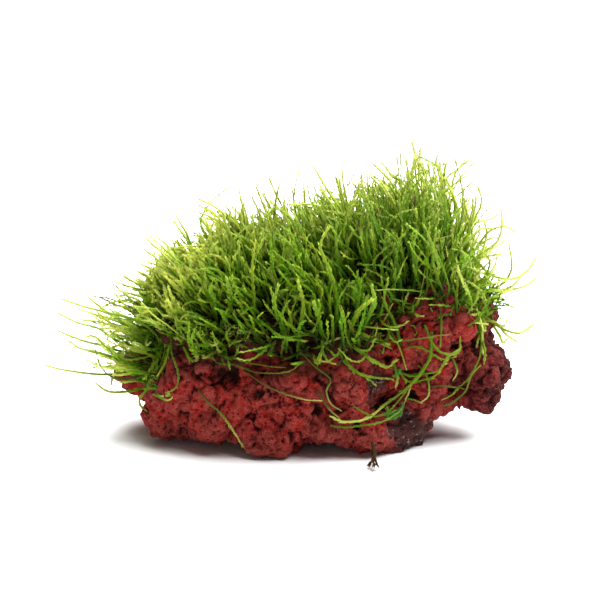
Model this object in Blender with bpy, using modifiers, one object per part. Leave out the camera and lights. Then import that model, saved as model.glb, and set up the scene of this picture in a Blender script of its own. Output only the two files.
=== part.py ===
"""Java moss grown on a lump of red lava stone, as it is sold for an aquarium.

The stone is one piece of scoria: a heap of lumps with ledges, clefts and open gas bubbles, which rests on
the ends of a few lumps of its underside. Moss covers its top. One wide cushion leans to the left, one tuft
fans out from the left shoulder and one hangs on the right end. Single long shoots trail down the front.

Lengths below are in millimetres and become metres as each mesh is made. +Z is up, +X is to the right of
someone who faces the stone, and the origin lies under the middle of the whole thing, on the surface that
the stone rests on.
"""

import math

import bmesh
import bpy
from mathutils import Matrix, Vector, noise
from mathutils.bvhtree import BVHTree

MM = 0.001

# Every place below is measured from the middle of the stone, which stands this far from the origin.
STONE_AT = Vector((6.5, -4.1, 0.0))

# The stone. Each lump is its middle and its three half-widths.
STONE_LUMPS = {
    "core": ((-2, 0, 28), (46, 31, 25)),
    "crest": ((20, 3, 39), (30, 25, 17)),
    "left_saddle": ((-24, 2, 33), (27, 26, 15)),
    "left_shoulder": ((-50, 3, 17.5), (10.5, 13, 10)),
    "left_toe": ((-39.5, -14, 11), (12.5, 13, 12)),
    "left_front_bulge": ((-29, -20, 20), (13, 11, 13)),
    "cleft_lump": ((-17, -27, 18), (8.5, 8, 12)),
    "front_foot": ((-11, -25, 6.5), (13, 10, 8.5)),
    "low_left": ((-27, -20, 9.5), (13, 11, 8.5)),
    "middle_lump": ((-2, -28, 21), (12, 9, 13)),
    "right_lump": ((10, -28, 26), (9, 8, 10)),
    "low_front": ((9, -26, 8.5), (14, 10, 9)),
    "low_corner": ((25, -18, 5.5), (11, 12, 8.5)),
    "right_slope": ((32, -11, 15), (12, 14, 12)),
    "right_face": ((33, -11, 33), (16, 15, 20)),
    "right_block": ((51, -7, 17), (10, 12.5, 11.5)),
    "right_knob": ((48, 0, 33), (8.5, 11, 10)),
    "back_left": ((-22, 23, 24), (20, 13, 19)),
    "back_right": ((14, 24, 22), (22, 12, 18)),
    "back_corner": ((37, 14, 25), (15, 15, 16)),
    "back_toe": ((-43, 13, 22), (13, 13, 13)),
    "back_left_foot": ((-19, 19, 7), (15, 12, 9.5)),
    "back_right_foot": ((20, 21, 6), (16, 11, 9.5)),
}
# Clefts between the lumps: where each starts and ends, how wide it is and how deep it cuts.
STONE_CLEFTS = (
    ((-23, -34, 27), (-15, -34, 5), 2.6, 5.0),
    ((-27, -33, 29), (-18, -36, 29), 3.0, 6.0),
    ((4, -38, 27), (4, -36, 10), 2.4, 3.0),
    ((19, -36, 24), (25, -28, 12), 5.0, 4.5),
    ((43, -22, 31), (44, -18, 15), 3.0, 5.5),
    ((57, -8, 12), (62, -4, 14), 2.6, 4.0),
    ((55, -4, 31), (60, 2, 32), 3.0, 3.5),
    ((-48, -8, 10), (-54, -2, 12), 3.2, 4.0),
    ((-4, -30, 3), (4, -30, 3), 3.0, 4.0),
    ((-30, 30, 30), (-6, 36, 12), 3.0, 4.5),
    ((10, 38, 34), (32, 32, 14), 2.8, 4.5),
    ((-58, 10, 30), (-50, 20, 12), 3.0, 3.5),
)
STONE_SKIN = 1.3
STONE_TRIANGLES = 3750
# Its rough face: wide swells, chunks with cracks between them, crags, knobs and open bubbles. A spacing is
# a length, and the crack's and the bubble's widths are shares of their spacing.
SWELL_SPACING, SWELL_HEIGHT = 17.0, 2.6
CHUNK_SPACING, CRACK_WIDTH, CRACK_DEPTH = 13.0, 0.2, 1.8
CRAG_SPACING, CRAG_HEIGHT = 8.0, 2.2
KNOB_SPACING, KNOB_HEIGHT = 6.5, 1.8
BUBBLE_SPACING, BUBBLE_WIDTH, BUBBLE_DEPTH = 11.0, 0.42, 2.6
BUBBLES_AT = Vector((7.3, 2.1, 5.9))

# A block of this width stands in for the surface under the stone, and for each half of space.
BLOCK_WIDTH = 200.0
# From this far off, nothing of the object is missed.
FAR_OFF = 150.0

# The moss keeps this far off the stone, and the trailing shoots this far off all that they lie on.
MOSS_GAP = 1.2
SHOOT_GAP = 0.5
CLEARANCE_SKIN, CLEARANCE_TRIANGLES = 1.4, 2400
# The cushion grows in a pad and a lock on each square of this grid, wherever the stone is higher than the
# moss line, which is given from the left end to the right one.
GRID = 9.6
GRID_COLUMNS, GRID_ROWS = range(-5, 6), range(-3, 4)
GRID_MIDDLE = Vector((0, 4, 0))
GRID_UNEVEN = 0.4
MOSS_LINE = ((-55, 30), (-40, 31), (-25, 29), (0, 29), (20, 31.5), (28, 41), (40, 41), (48, 36))
PAD_HALF_WIDTH, PAD_HALF_HEIGHT, PAD_RISE = 9.0, 8.0, 3.5
TUFT_THICKNESS = 0.6
MOSS_SKIN = 1.8
CUSHION_TRIANGLES, TUFT_TRIANGLES = 700, 180
# A lock is a bundle of shoots that ends in one tip. Its half-width goes with the share of its length.
LOCK_SHARES = (0.0, 0.35, 0.7, 1.0)
LOCK_HALF_WIDTHS = (4.2, 3.6, 2.2, 0.6)
LOCK_VARIES = 0.28
# How far up its length a lock bends, and how far from a tuft's heart towards its tip it leaves the stone.
LOCK_BEND, TUFT_SPREAD = 0.5, 0.35
# How far the shoots lean to the right for each unit that they rise, and how long the cushion's locks are,
# from the left end to the right one.
LEAN = ((-60, -1.7), (-40, -1.05), (-15, -0.62), (12, -0.40), (32, -0.15), (40, 0.1), (50, 0.7))
LENGTH = ((-50, 15), (-20, 20.5), (5, 23), (20, 25), (30, 31), (38, 29), (45, 24), (58, 20))
LEAN_TO_FRONT = 30.0
# The two tufts at the ends of the stone: where each one's locks come together, and its tips.
LEFT_HEART = (-44, -2, 24)
LEFT_TIPS = (
    (-80, -8, 18), (-77, 3, 29), (-77, -14, 33), (-74, 9, 37), (-70, -18, 25), (-66, -6, 40),
    (-66, 17, 28), (-58, 20, 37), (-60, -24, 33), (-66, 2, 17),
)
RIGHT_HEART = (47, -2, 38)
RIGHT_TIPS = (
    (67, -5, 45), (66, -10, 32), (61, -16, 26), (66, 6, 39), (60, 15, 34), (55, -19, 30), (61, 13, 44),
    (65, 2, 28),
)
# The tufts part from the cushion along planes, each given by a point of it and the direction to the tuft.
LEFT_PARTING = ((-40, 0, 30), (-0.38, 0, -0.925))
RIGHT_PARTING = ((46, 0, 43), (0.33, 0, -0.944))
CLUMP_GAP = 0.6
# Single shoots that lie on the front of the stone, from the moss to the tip, to the right and up.
SHOOT_WIDTH = 1.2
SHOOT_POINTS = 14
# How far round itself a shoot looks for the stone that it has to stay clear of, and in how many directions.
SHOOT_REACH, SHOOT_LOOKS = 1.4, 8
TRAILING_SHOOTS = {
    "trailing_shoot_left": ((-41, 36), (-40, 30), (-37.9, 25), (-38.2, 20.5), (-41, 18.5)),
    "trailing_shoot_low_left": ((-32, 20.5), (-29.5, 17.3), (-25.2, 14), (-22.1, 9.4), (-19, 4)),
    "trailing_shoot_under_moss": ((-29.5, 34.5), (-27.2, 30.3), (-21.7, 28.9), (-15.3, 27.3), (-7.5, 27.2)),
    "trailing_shoot_middle": ((-22, 25), (-19.6, 24), (-14.2, 20.7), (-8.4, 18.7), (-2.4, 17.3), (2.2, 17.6)),
    "trailing_shoot_centre": ((-3, 32), (0.8, 28), (5.2, 24.4), (4.1, 21), (5.4, 16.8), (8.4, 14.4)),
    "trailing_shoot_right": ((8.7, 32), (10.7, 28), (14.5, 25), (18.3, 23), (23, 21.6)),
    "trailing_shoot_low_right": (
        (34, 36), (33.5, 28), (30, 21.5), (26, 16.7), (22.6, 13.4), (18.5, 11.6), (13.9, 10.4), (8.6, 10.1),
        (5.7, 11.3),
    ),
    "trailing_shoot_right_end": ((49.5, 35), (50, 30), (47.8, 24.5), (44.9, 19.4), (41.6, 16), (38, 14.5)),
}


def clear_scene():
    """Removes whatever the file holds when it is run."""
    for obj in list(bpy.data.objects):
        bpy.data.objects.remove(obj)


def surface(name, colour, roughness):
    """A plain finish in the part's colour."""
    material = bpy.data.materials.new(name)
    material.use_nodes = True
    shader = material.node_tree.nodes["Principled BSDF"]
    shader.inputs["Base Color"].default_value = (*colour, 1)
    shader.inputs["Roughness"].default_value = roughness
    shader.inputs["Metallic"].default_value = 0
    return material


def shown(name, mesh, material, collection):
    """A named piece of the object."""
    mesh.name = name
    mesh.transform(Matrix.Translation(STONE_AT * MM))
    mesh.materials.clear()
    mesh.materials.append(material)
    mesh.shade_smooth()
    mesh.set_sharp_from_angle(angle=math.radians(50))
    obj = bpy.data.objects.new(name, mesh)
    collection.objects.link(obj)
    return obj


def with_modifiers(mesh, *modifiers):
    """The mesh after some modifiers, each given as its type and its settings."""
    obj = bpy.data.objects.new("in_work", mesh)
    bpy.context.scene.collection.objects.link(obj)
    for kind, settings in modifiers:
        modifier = obj.modifiers.new(kind.title(), kind)
        for key, value in settings.items():
            setattr(modifier, key, value)
    graph = bpy.context.evaluated_depsgraph_get()
    made = bpy.data.meshes.new_from_object(obj.evaluated_get(graph))
    bpy.data.objects.remove(obj)
    return made


def combined(mesh, others, operation):
    """The mesh joined with other meshes, or cut by them, in one Boolean."""
    helpers = bpy.data.collections.new("helpers")
    for other in others:
        helpers.objects.link(bpy.data.objects.new("helper", other))
    settings = {"operation": operation, "operand_type": "COLLECTION", "collection": helpers, "solver": "EXACT"}
    made = with_modifiers(mesh, ("BOOLEAN", settings))
    for obj in list(helpers.objects):
        bpy.data.objects.remove(obj)
    bpy.data.collections.remove(helpers)
    return made


def balls(lumps):
    """One mesh of overlapping ellipsoids, from their middles and half-widths in millimetres."""
    bm = bmesh.new()
    for middle, half_widths in lumps:
        place = Matrix.Translation(Vector(middle) * MM) @ Matrix.Diagonal((*(Vector(half_widths) * MM), 1))
        bmesh.ops.create_icosphere(bm, subdivisions=3, radius=1, matrix=place)
    mesh = bpy.data.meshes.new("balls")
    bm.to_mesh(mesh)
    bm.free()
    return mesh


def block(point, direction):
    """A block that holds all of the object that lies past a point in one direction."""
    turn = direction.to_track_quat("Z", "Y").to_matrix().to_4x4()
    middle = point + direction * (BLOCK_WIDTH / 2)
    bm = bmesh.new()
    bmesh.ops.create_cube(bm, size=BLOCK_WIDTH * MM, matrix=Matrix.Translation(middle * MM) @ turn)
    mesh = bpy.data.meshes.new("block")
    bm.to_mesh(mesh)
    bm.free()
    return mesh


def skin(mesh, fineness, smoothing):
    """One closed skin around overlapping shapes."""
    return with_modifiers(
        mesh,
        ("REMESH", {"mode": "VOXEL", "voxel_size": fineness * MM}),
        ("SMOOTH", {"factor": 0.5, "iterations": smoothing}),
    )


def thinned(mesh, triangles):
    """The mesh with about that many triangles."""
    mesh.calc_loop_triangles()
    share = min(1.0, triangles / len(mesh.loop_triangles))
    return with_modifiers(mesh, ("DECIMATE", {"ratio": share, "use_collapse_triangulate": True}))


def moved_along_normals(mesh, distance_at):
    """The mesh with each point moved along its normal, by distance_at(point, normal) in millimetres."""
    places = [(v.co.copy(), v.normal.copy()) for v in mesh.vertices]
    for vertex, (place, normal) in zip(mesh.vertices, places):
        vertex.co = place + normal * (distance_at(place / MM, normal) * MM)
    mesh.update()
    return mesh


def largest_body(mesh):
    """The mesh without the small loose bits that a cut leaves."""
    bm = bmesh.new()
    bm.from_mesh(mesh)
    bm.verts.ensure_lookup_table()
    unseen = set(range(len(bm.verts)))
    bodies = []
    while unseen:
        stack = [unseen.pop()]
        body = set(stack)
        while stack:
            for edge in bm.verts[stack.pop()].link_edges:
                for vertex in edge.verts:
                    if vertex.index in unseen:
                        unseen.discard(vertex.index)
                        body.add(vertex.index)
                        stack.append(vertex.index)
        bodies.append(body)
    keep = max(bodies, key=len)
    loose = [v for v in bm.verts if v.index not in keep]
    bmesh.ops.delete(bm, geom=loose, context="VERTS")
    bm.to_mesh(mesh)
    bm.free()
    return mesh


def tree_of(mesh):
    """A search tree of the mesh, in metres."""
    return BVHTree.FromPolygons([v.co for v in mesh.vertices], [p.vertices for p in mesh.polygons])


def distance_to_line(point, start, end):
    """How far a point is from a straight stretch."""
    start, end = Vector(start), Vector(end)
    along = max(0.0, min(1.0, (point - start).dot(end - start) / (end - start).length_squared))
    return (point - start.lerp(end, along)).length


def stone_relief(point, normal):
    """How far the stone's rough face stands out at a point."""
    swells = SWELL_HEIGHT * noise.noise(point / SWELL_SPACING)
    crags = CRAG_HEIGHT * (noise.turbulence(point / CRAG_SPACING, 2, False) - 0.5)
    knobs = KNOB_HEIGHT * (0.5 - noise.voronoi(point / KNOB_SPACING)[0][0])
    nearest, second = noise.voronoi(point / CHUNK_SPACING)[0][:2]
    cracks = CRACK_DEPTH * math.exp(-(((second - nearest) / CRACK_WIDTH) ** 2))
    from_bubble = noise.voronoi(point / BUBBLE_SPACING + BUBBLES_AT)[0][0]
    bubbles = BUBBLE_DEPTH * max(0.0, 1 - (from_bubble / BUBBLE_WIDTH) ** 2)
    clefts = sum(
        depth * math.exp(-((distance_to_line(point, start, end) / width) ** 2))
        for start, end, width, depth in STONE_CLEFTS
    )
    return swells + crags + knobs - cracks - bubbles - clefts


def lava_stone():
    """The stone, with flat ends on the lumps that it rests on."""
    rough = skin(balls(STONE_LUMPS.values()), STONE_SKIN, 4)
    rough = moved_along_normals(rough, stone_relief)
    rough = thinned(rough, STONE_TRIANGLES)
    return largest_body(combined(rough, [block(Vector(), Vector((0, 0, -1)))], "DIFFERENCE"))


def between(knots, x):
    """The value at x on the straight lines that join some knots."""
    if x <= knots[0][0]:
        return knots[0][1]
    for (left, left_value), (right, right_value) in zip(knots, knots[1:]):
        if x <= right:
            return left_value + (right_value - left_value) * (x - left) / (right - left)
    return knots[-1][1]


def growth_at(point):
    """Which way the shoots point at their tips, at a point of the stone."""
    return Vector((between(LEAN, point.x), point.y / LEAN_TO_FRONT, 1)).normalized()


def tube(points, half_widths):
    """A tube with four sides along points, with a half-width at each, all in millimetres."""
    data = bpy.data.curves.new("tube", "CURVE")
    data.dimensions = "3D"
    data.bevel_depth = MM
    data.bevel_resolution = 0
    data.use_fill_caps = True
    spline = data.splines.new("POLY")
    spline.points.add(len(points) - 1)
    for control, point, half_width in zip(spline.points, points, half_widths):
        control.co = (*(point * MM), 1)
        control.radius = half_width
    obj = bpy.data.objects.new("tube", data)
    bpy.context.scene.collection.objects.link(obj)
    graph = bpy.context.evaluated_depsgraph_get()
    mesh = bpy.data.meshes.new_from_object(obj.evaluated_get(graph))
    bpy.data.objects.remove(obj)
    bm = bmesh.new()
    bm.from_mesh(mesh)
    bmesh.ops.remove_doubles(bm, verts=bm.verts, dist=0.001 * MM)
    bm.to_mesh(mesh)
    bm.free()
    return mesh


def lock(root, outwards, tip, thickness=1.0):
    """A tapered bundle of shoots that leaves the stone along outwards and bends over to its tip."""
    knee = root + outwards * (tip - root).length * LOCK_BEND
    points = [root.lerp(knee, share).lerp(knee.lerp(tip, share), share) for share in LOCK_SHARES]
    return tube(points, [half_width * thickness for half_width in LOCK_HALF_WIDTHS])


def pads(roots, thickness=1.0):
    """The dense moss around the feet of some locks, as one lumpy mass."""
    half_widths = Vector((PAD_HALF_WIDTH, PAD_HALF_WIDTH, PAD_HALF_HEIGHT)) * thickness
    lumps = balls([(root + growth_at(root) * PAD_RISE * thickness, half_widths) for root, _ in roots])
    return skin(lumps, MOSS_SKIN, 3)


def cushion_roots(stone_tree):
    """Where the cushion's locks leave the stone: the place and the stone's normal, square by square."""
    roots = []
    for row in GRID_ROWS:
        for column in GRID_COLUMNS:
            cell = Vector((column, row, 0))
            uneven = (noise.cell_vector(cell) - Vector((0.5, 0.5, 0.5))) * GRID_UNEVEN
            above = (cell + uneven) * GRID + GRID_MIDDLE
            above.z = FAR_OFF
            hit, normal, _, _ = stone_tree.ray_cast(above * MM, Vector((0, 0, -1)))
            if hit and hit.z / MM > between(MOSS_LINE, hit.x / MM):
                roots.append((hit / MM, normal))
    return roots


def moss_cushion(stone_tree):
    """The wide clump on the stone's top."""
    roots = cushion_roots(stone_tree)
    locks = []
    for root, normal in roots:
        tip = root + growth_at(root) * between(LENGTH, root.x) * (1 + LOCK_VARIES * noise.noise(root))
        locks.append(lock(root, (normal + growth_at(root)).normalized(), tip))
    return combined(thinned(pads(roots), CUSHION_TRIANGLES), locks, "UNION")


def moss_tuft(stone_tree, heart, tips):
    """A clump at one end of the stone, with a lock to each tip from where the stone is nearest."""
    heart = Vector(heart)
    roots, locks = [], []
    for tip in map(Vector, tips):
        place, normal, _, _ = stone_tree.find_nearest(heart.lerp(tip, TUFT_SPREAD) * MM)
        roots.append((place / MM, normal))
        locks.append(lock(place / MM, normal, tip, TUFT_THICKNESS))
    return combined(thinned(pads(roots, TUFT_THICKNESS), TUFT_TRIANGLES), locks, "UNION")


def space_beyond(parting, side):
    """What lies on a tuft's side of its parting (1), or on the cushion's side (-1), and half the gap."""
    point, direction = Vector(parting[0]), Vector(parting[1]).normalized() * side
    return block(point - direction * CLUMP_GAP / 2, direction)


def stone_clearance(stone):
    """The space that the moss leaves free: the stone, made fatter by the gap all round."""
    fatter = moved_along_normals(stone.copy(), lambda point, normal: MOSS_GAP)
    return thinned(skin(fatter, CLEARANCE_SKIN, 1), CLEARANCE_TRIANGLES)


def front_of(trees, x, z):
    """How far forward the frontmost of some shapes stands around a place of the front view."""
    starts = [Vector((x, -FAR_OFF, z))]
    for number in range(SHOOT_LOOKS):
        turn = number / SHOOT_LOOKS * math.tau
        starts.append(starts[0] + Vector((math.cos(turn), 0, math.sin(turn))) * SHOOT_REACH)
    hits = [tree.ray_cast(start * MM, Vector((0, 1, 0)))[0] for start in starts for tree in trees]
    return min((hit.y / MM for hit in hits if hit), default=math.inf)


def trailing_shoot(trees, places):
    """A single shoot that lies on the front of the stone and ends in a blunt tip."""
    knots = [Vector((x, 0, z)) for x, z in places]
    knots = [knots[0] * 2 - knots[1], *knots, knots[-1] * 2 - knots[-2]]
    points = []
    for number in range(SHOOT_POINTS):
        at = number / (SHOOT_POINTS - 1) * (len(places) - 1)
        first = min(int(at), len(places) - 2)
        points.append(spline_point(knots[first : first + 4], at - first))
    fronts = [front_of(trees, point.x, point.z) for point in points]
    known = [front for front in fronts if front < math.inf]
    for number, point in enumerate(points):
        near = [front for front in fronts[max(0, number - 1) : number + 2] if front < math.inf]
        point.y = min(near or known) - SHOOT_GAP - SHOOT_WIDTH / 2
    return tube(points, [SHOOT_WIDTH / 2] * SHOOT_POINTS)


def spline_point(knots, share):
    """A point on the smooth curve through the middle two of four knots."""
    a, b, c, d = knots
    bend = (a * 2 - b * 5 + c * 4 - d) * share**2 + (b * 3 - a - c * 3 + d) * share**3
    return (b * 2 + (c - a) * share + bend) / 2


clear_scene()
collection = bpy.data.collections.new("java_moss_on_lava_stone")
bpy.context.scene.collection.children.link(collection)
red_lava = surface("red_lava", (0.30, 0.035, 0.03), 0.9)
moss_green = surface("moss_green", (0.20, 0.38, 0.05), 0.6)

stone = lava_stone()
stone_tree = tree_of(stone)
clearance = stone_clearance(stone)
shown("lava_stone", stone, red_lava, collection)

clumps = {
    "moss_cushion": (moss_cushion(stone_tree), (LEFT_PARTING, RIGHT_PARTING), 1),
    "moss_left_tuft": (moss_tuft(stone_tree, LEFT_HEART, LEFT_TIPS), (LEFT_PARTING,), -1),
    "moss_right_tuft": (moss_tuft(stone_tree, RIGHT_HEART, RIGHT_TIPS), (RIGHT_PARTING,), -1),
}
trees = [stone_tree]
for name, (clump, partings, side) in clumps.items():
    spaces = [space_beyond(parting, side) for parting in partings]
    clump = largest_body(combined(clump, [clearance, *spaces], "DIFFERENCE"))
    trees.append(tree_of(clump))
    shown(name, clump, moss_green, collection)

for name, places in TRAILING_SHOOTS.items():
    shown(name, trailing_shoot(trees, places), moss_green, collection)
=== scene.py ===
"""The looks of java moss on a lump of red lava stone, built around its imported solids.

The stone is one piece of scoria with an open, crumbly face. The moss is made shoot by shoot, and each shoot
is a thin stem with small pointed leaves. Lengths are in millimetres and become metres as each mesh is made.
+Z is up, and +X is to the right of someone who faces the side that the shoots trail down.
"""

import logging
import math
from dataclasses import dataclass, field, replace
from enum import Enum
from typing import Callable

import bmesh
import bpy
import numpy as np
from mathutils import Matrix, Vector, noise
from mathutils.bvhtree import BVHTree


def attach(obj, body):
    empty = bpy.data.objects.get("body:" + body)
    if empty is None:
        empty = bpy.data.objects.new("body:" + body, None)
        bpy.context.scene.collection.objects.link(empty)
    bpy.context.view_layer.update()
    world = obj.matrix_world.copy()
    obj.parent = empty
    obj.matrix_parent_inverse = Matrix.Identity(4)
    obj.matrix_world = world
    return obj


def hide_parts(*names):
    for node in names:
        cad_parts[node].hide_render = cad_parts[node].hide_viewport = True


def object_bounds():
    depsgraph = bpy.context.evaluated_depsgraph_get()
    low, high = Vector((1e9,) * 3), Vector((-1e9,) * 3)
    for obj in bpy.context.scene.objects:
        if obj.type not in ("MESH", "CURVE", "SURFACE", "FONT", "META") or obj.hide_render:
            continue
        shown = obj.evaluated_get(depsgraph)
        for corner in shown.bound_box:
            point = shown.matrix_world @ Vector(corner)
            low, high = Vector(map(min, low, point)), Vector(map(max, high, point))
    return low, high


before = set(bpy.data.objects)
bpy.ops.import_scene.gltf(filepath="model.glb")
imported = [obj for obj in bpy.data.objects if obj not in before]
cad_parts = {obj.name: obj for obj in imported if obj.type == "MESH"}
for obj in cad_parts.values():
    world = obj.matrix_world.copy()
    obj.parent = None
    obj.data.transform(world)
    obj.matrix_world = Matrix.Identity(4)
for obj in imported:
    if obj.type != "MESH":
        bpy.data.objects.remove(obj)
cad_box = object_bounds()

# Two numbers, which are often where something starts and ends, and three, such as a place. A table of pairs.
# A soft-edged patch of the stone, by its middle and its half-widths. The way of a shoot that stands out.
Pair = tuple[float, float]
Triple = tuple[float, float, float]
Table = tuple[Pair, ...]
Patch = tuple[Triple, Triple]
Way = tuple[Pair, Table]

LOG = logging.getLogger("java_moss_on_stone")
MM = 0.001
BODY = "root"
# Seen from the front, the stone's middle stands at this depth, and this is well in front of it.
STONE_MIDDLE_Y = -4.1
FAR_IN_FRONT = -200.0
# How far single shoots may reach past the whole object's packed box.
REACH_OVER_BOX = 1.5
# A shoot that has to be drawn back into that box keeps at least this share of its length.
LEAST_SHARE = 0.2
# What is shorter than this counts as nothing.
TINY = 1e-6
# How many points the curve of a clump's shoot has, of a branch and of a long arching shoot.
SHOOT_POINTS = 10
BRANCH_POINTS = 7
ARCH_POINTS = 18
# The length of a shoot that has as many leaves as its form says.
TYPICAL_LENGTH = 24.0
# What each group of shoots starts its repeatable random draws from.
SEEDS = {
    "moss_cushion": 11,
    "left_tuft": 12,
    "right_tuft": 13,
    "trailing_shoots": 14,
    "left_front_tuft": 15,
    "left_arches": 16,
    "slope_arches": 17,
    "crown_arches": 18,
    "crest_arches": 19,
    "right_arches": 20,
    "left_hanging": 21,
    "front_fronds": 22,
}


def linear(hex_colour: str) -> tuple[float, float, float, float]:
    """Turns an sRGB colour into linear light.

    Args:
        hex_colour: The colour as a hash and six hex digits.

    Returns:
        Red, green, blue and an alpha of 1.
    """
    shares = [int(hex_colour[start:start + 2], 16) / 255 for start in (1, 3, 5)]
    light = [share / 12.92 if share <= 0.04045 else ((share + 0.055) / 1.055) ** 2.4 for share in shares]
    return (*light, 1.0)


def add_node(
    tree: bpy.types.NodeTree, kind: str, links: dict | None = None, **settings: object
) -> bpy.types.Node:
    """Adds a node with its settings and what feeds its inputs.

    Args:
        tree: The node tree to add it to.
        kind: The node's Blender type.
        links: For each input, by name or number, the socket that feeds it or its plain value.
        settings: The node's own properties.

    Returns:
        The new node.
    """
    node = tree.nodes.new(kind)
    for name, value in settings.items():
        setattr(node, name, value)
    for key, value in (links or {}).items():
        if isinstance(value, bpy.types.NodeSocket):
            tree.links.new(value, node.inputs[key])
        else:
            node.inputs[key].default_value = value
    return node


def draws(group: str) -> np.random.Generator:
    """The random draws of one group of shoots, which are the same each time."""
    return np.random.default_rng(SEEDS[group])


def unit(vectors: np.ndarray) -> np.ndarray:
    """The vectors at a length of 1."""
    return vectors / np.linalg.norm(vectors, axis=-1, keepdims=True).clip(1e-9)


def between(low: float, high: float, values: np.ndarray) -> np.ndarray:
    """Goes smoothly from 0 at low to 1 at high.

    Args:
        low: Where the step starts.
        high: Where it ends, which may be lower than low.
        values: The places to read it at.

    Returns:
        A share from 0 to 1 for each value.
    """
    share = np.clip((values - low) / (high - low), 0, 1)
    return share * share * (3 - 2 * share)


def along_table(values: np.ndarray, table: Table) -> np.ndarray:
    """Reads a table of pairs at each value, in a straight line between its rows."""
    return np.interp(values, *np.array(table, float).T)


def between_ends(
    low: np.ndarray | float, high: np.ndarray | float, count: int, number: np.ndarray, rise: np.ndarray
) -> np.ndarray:
    """Works out what a shoot's material reads along it, from its foot's value to its tip's.

    Args:
        low: The value at the foot, of each shoot or of all.
        high: The value at the tip.
        count: How many shoots there are.
        number: Which shoot each vertex belongs to.
        rise: How far along its shoot each vertex lies.

    Returns:
        A value for each vertex.
    """
    lows = np.broadcast_to(low, count)[number]
    highs = np.broadcast_to(high, count)[number]
    return lows + (highs - lows) * rise.clip(0, 1)


def new_piece(
    name: str, points: np.ndarray, triangles: np.ndarray, marks: dict[str, np.ndarray]
) -> bpy.types.Object:
    """Makes a smooth-shaded mesh piece that rides on the one body.

    Args:
        name: The piece's name.
        points: Its vertices, in millimetres.
        triangles: Three vertex numbers for each face.
        marks: Values for each vertex, by the name that the materials read.

    Returns:
        The piece's object.
    """
    mesh = bpy.data.meshes.new(name)
    mesh.vertices.add(len(points))
    mesh.vertices.foreach_set("co", (points * MM).astype(np.float32).ravel())
    mesh.loops.add(triangles.size)
    mesh.loops.foreach_set("vertex_index", triangles.astype(np.int32).ravel())
    mesh.polygons.add(len(triangles))
    mesh.polygons.foreach_set("loop_start", np.arange(0, triangles.size, 3, dtype=np.int32))
    mesh.update(calc_edges=True)
    mesh.shade_smooth()
    for mark, values in marks.items():
        mesh.attributes.new(mark, "FLOAT", "POINT").data.foreach_set("value", values.astype(np.float32))
    obj = bpy.data.objects.new(name, mesh)
    bpy.context.scene.collection.objects.link(obj)
    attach(obj, BODY)
    LOG.info("%s: %d triangles", name, len(triangles))
    return obj


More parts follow.
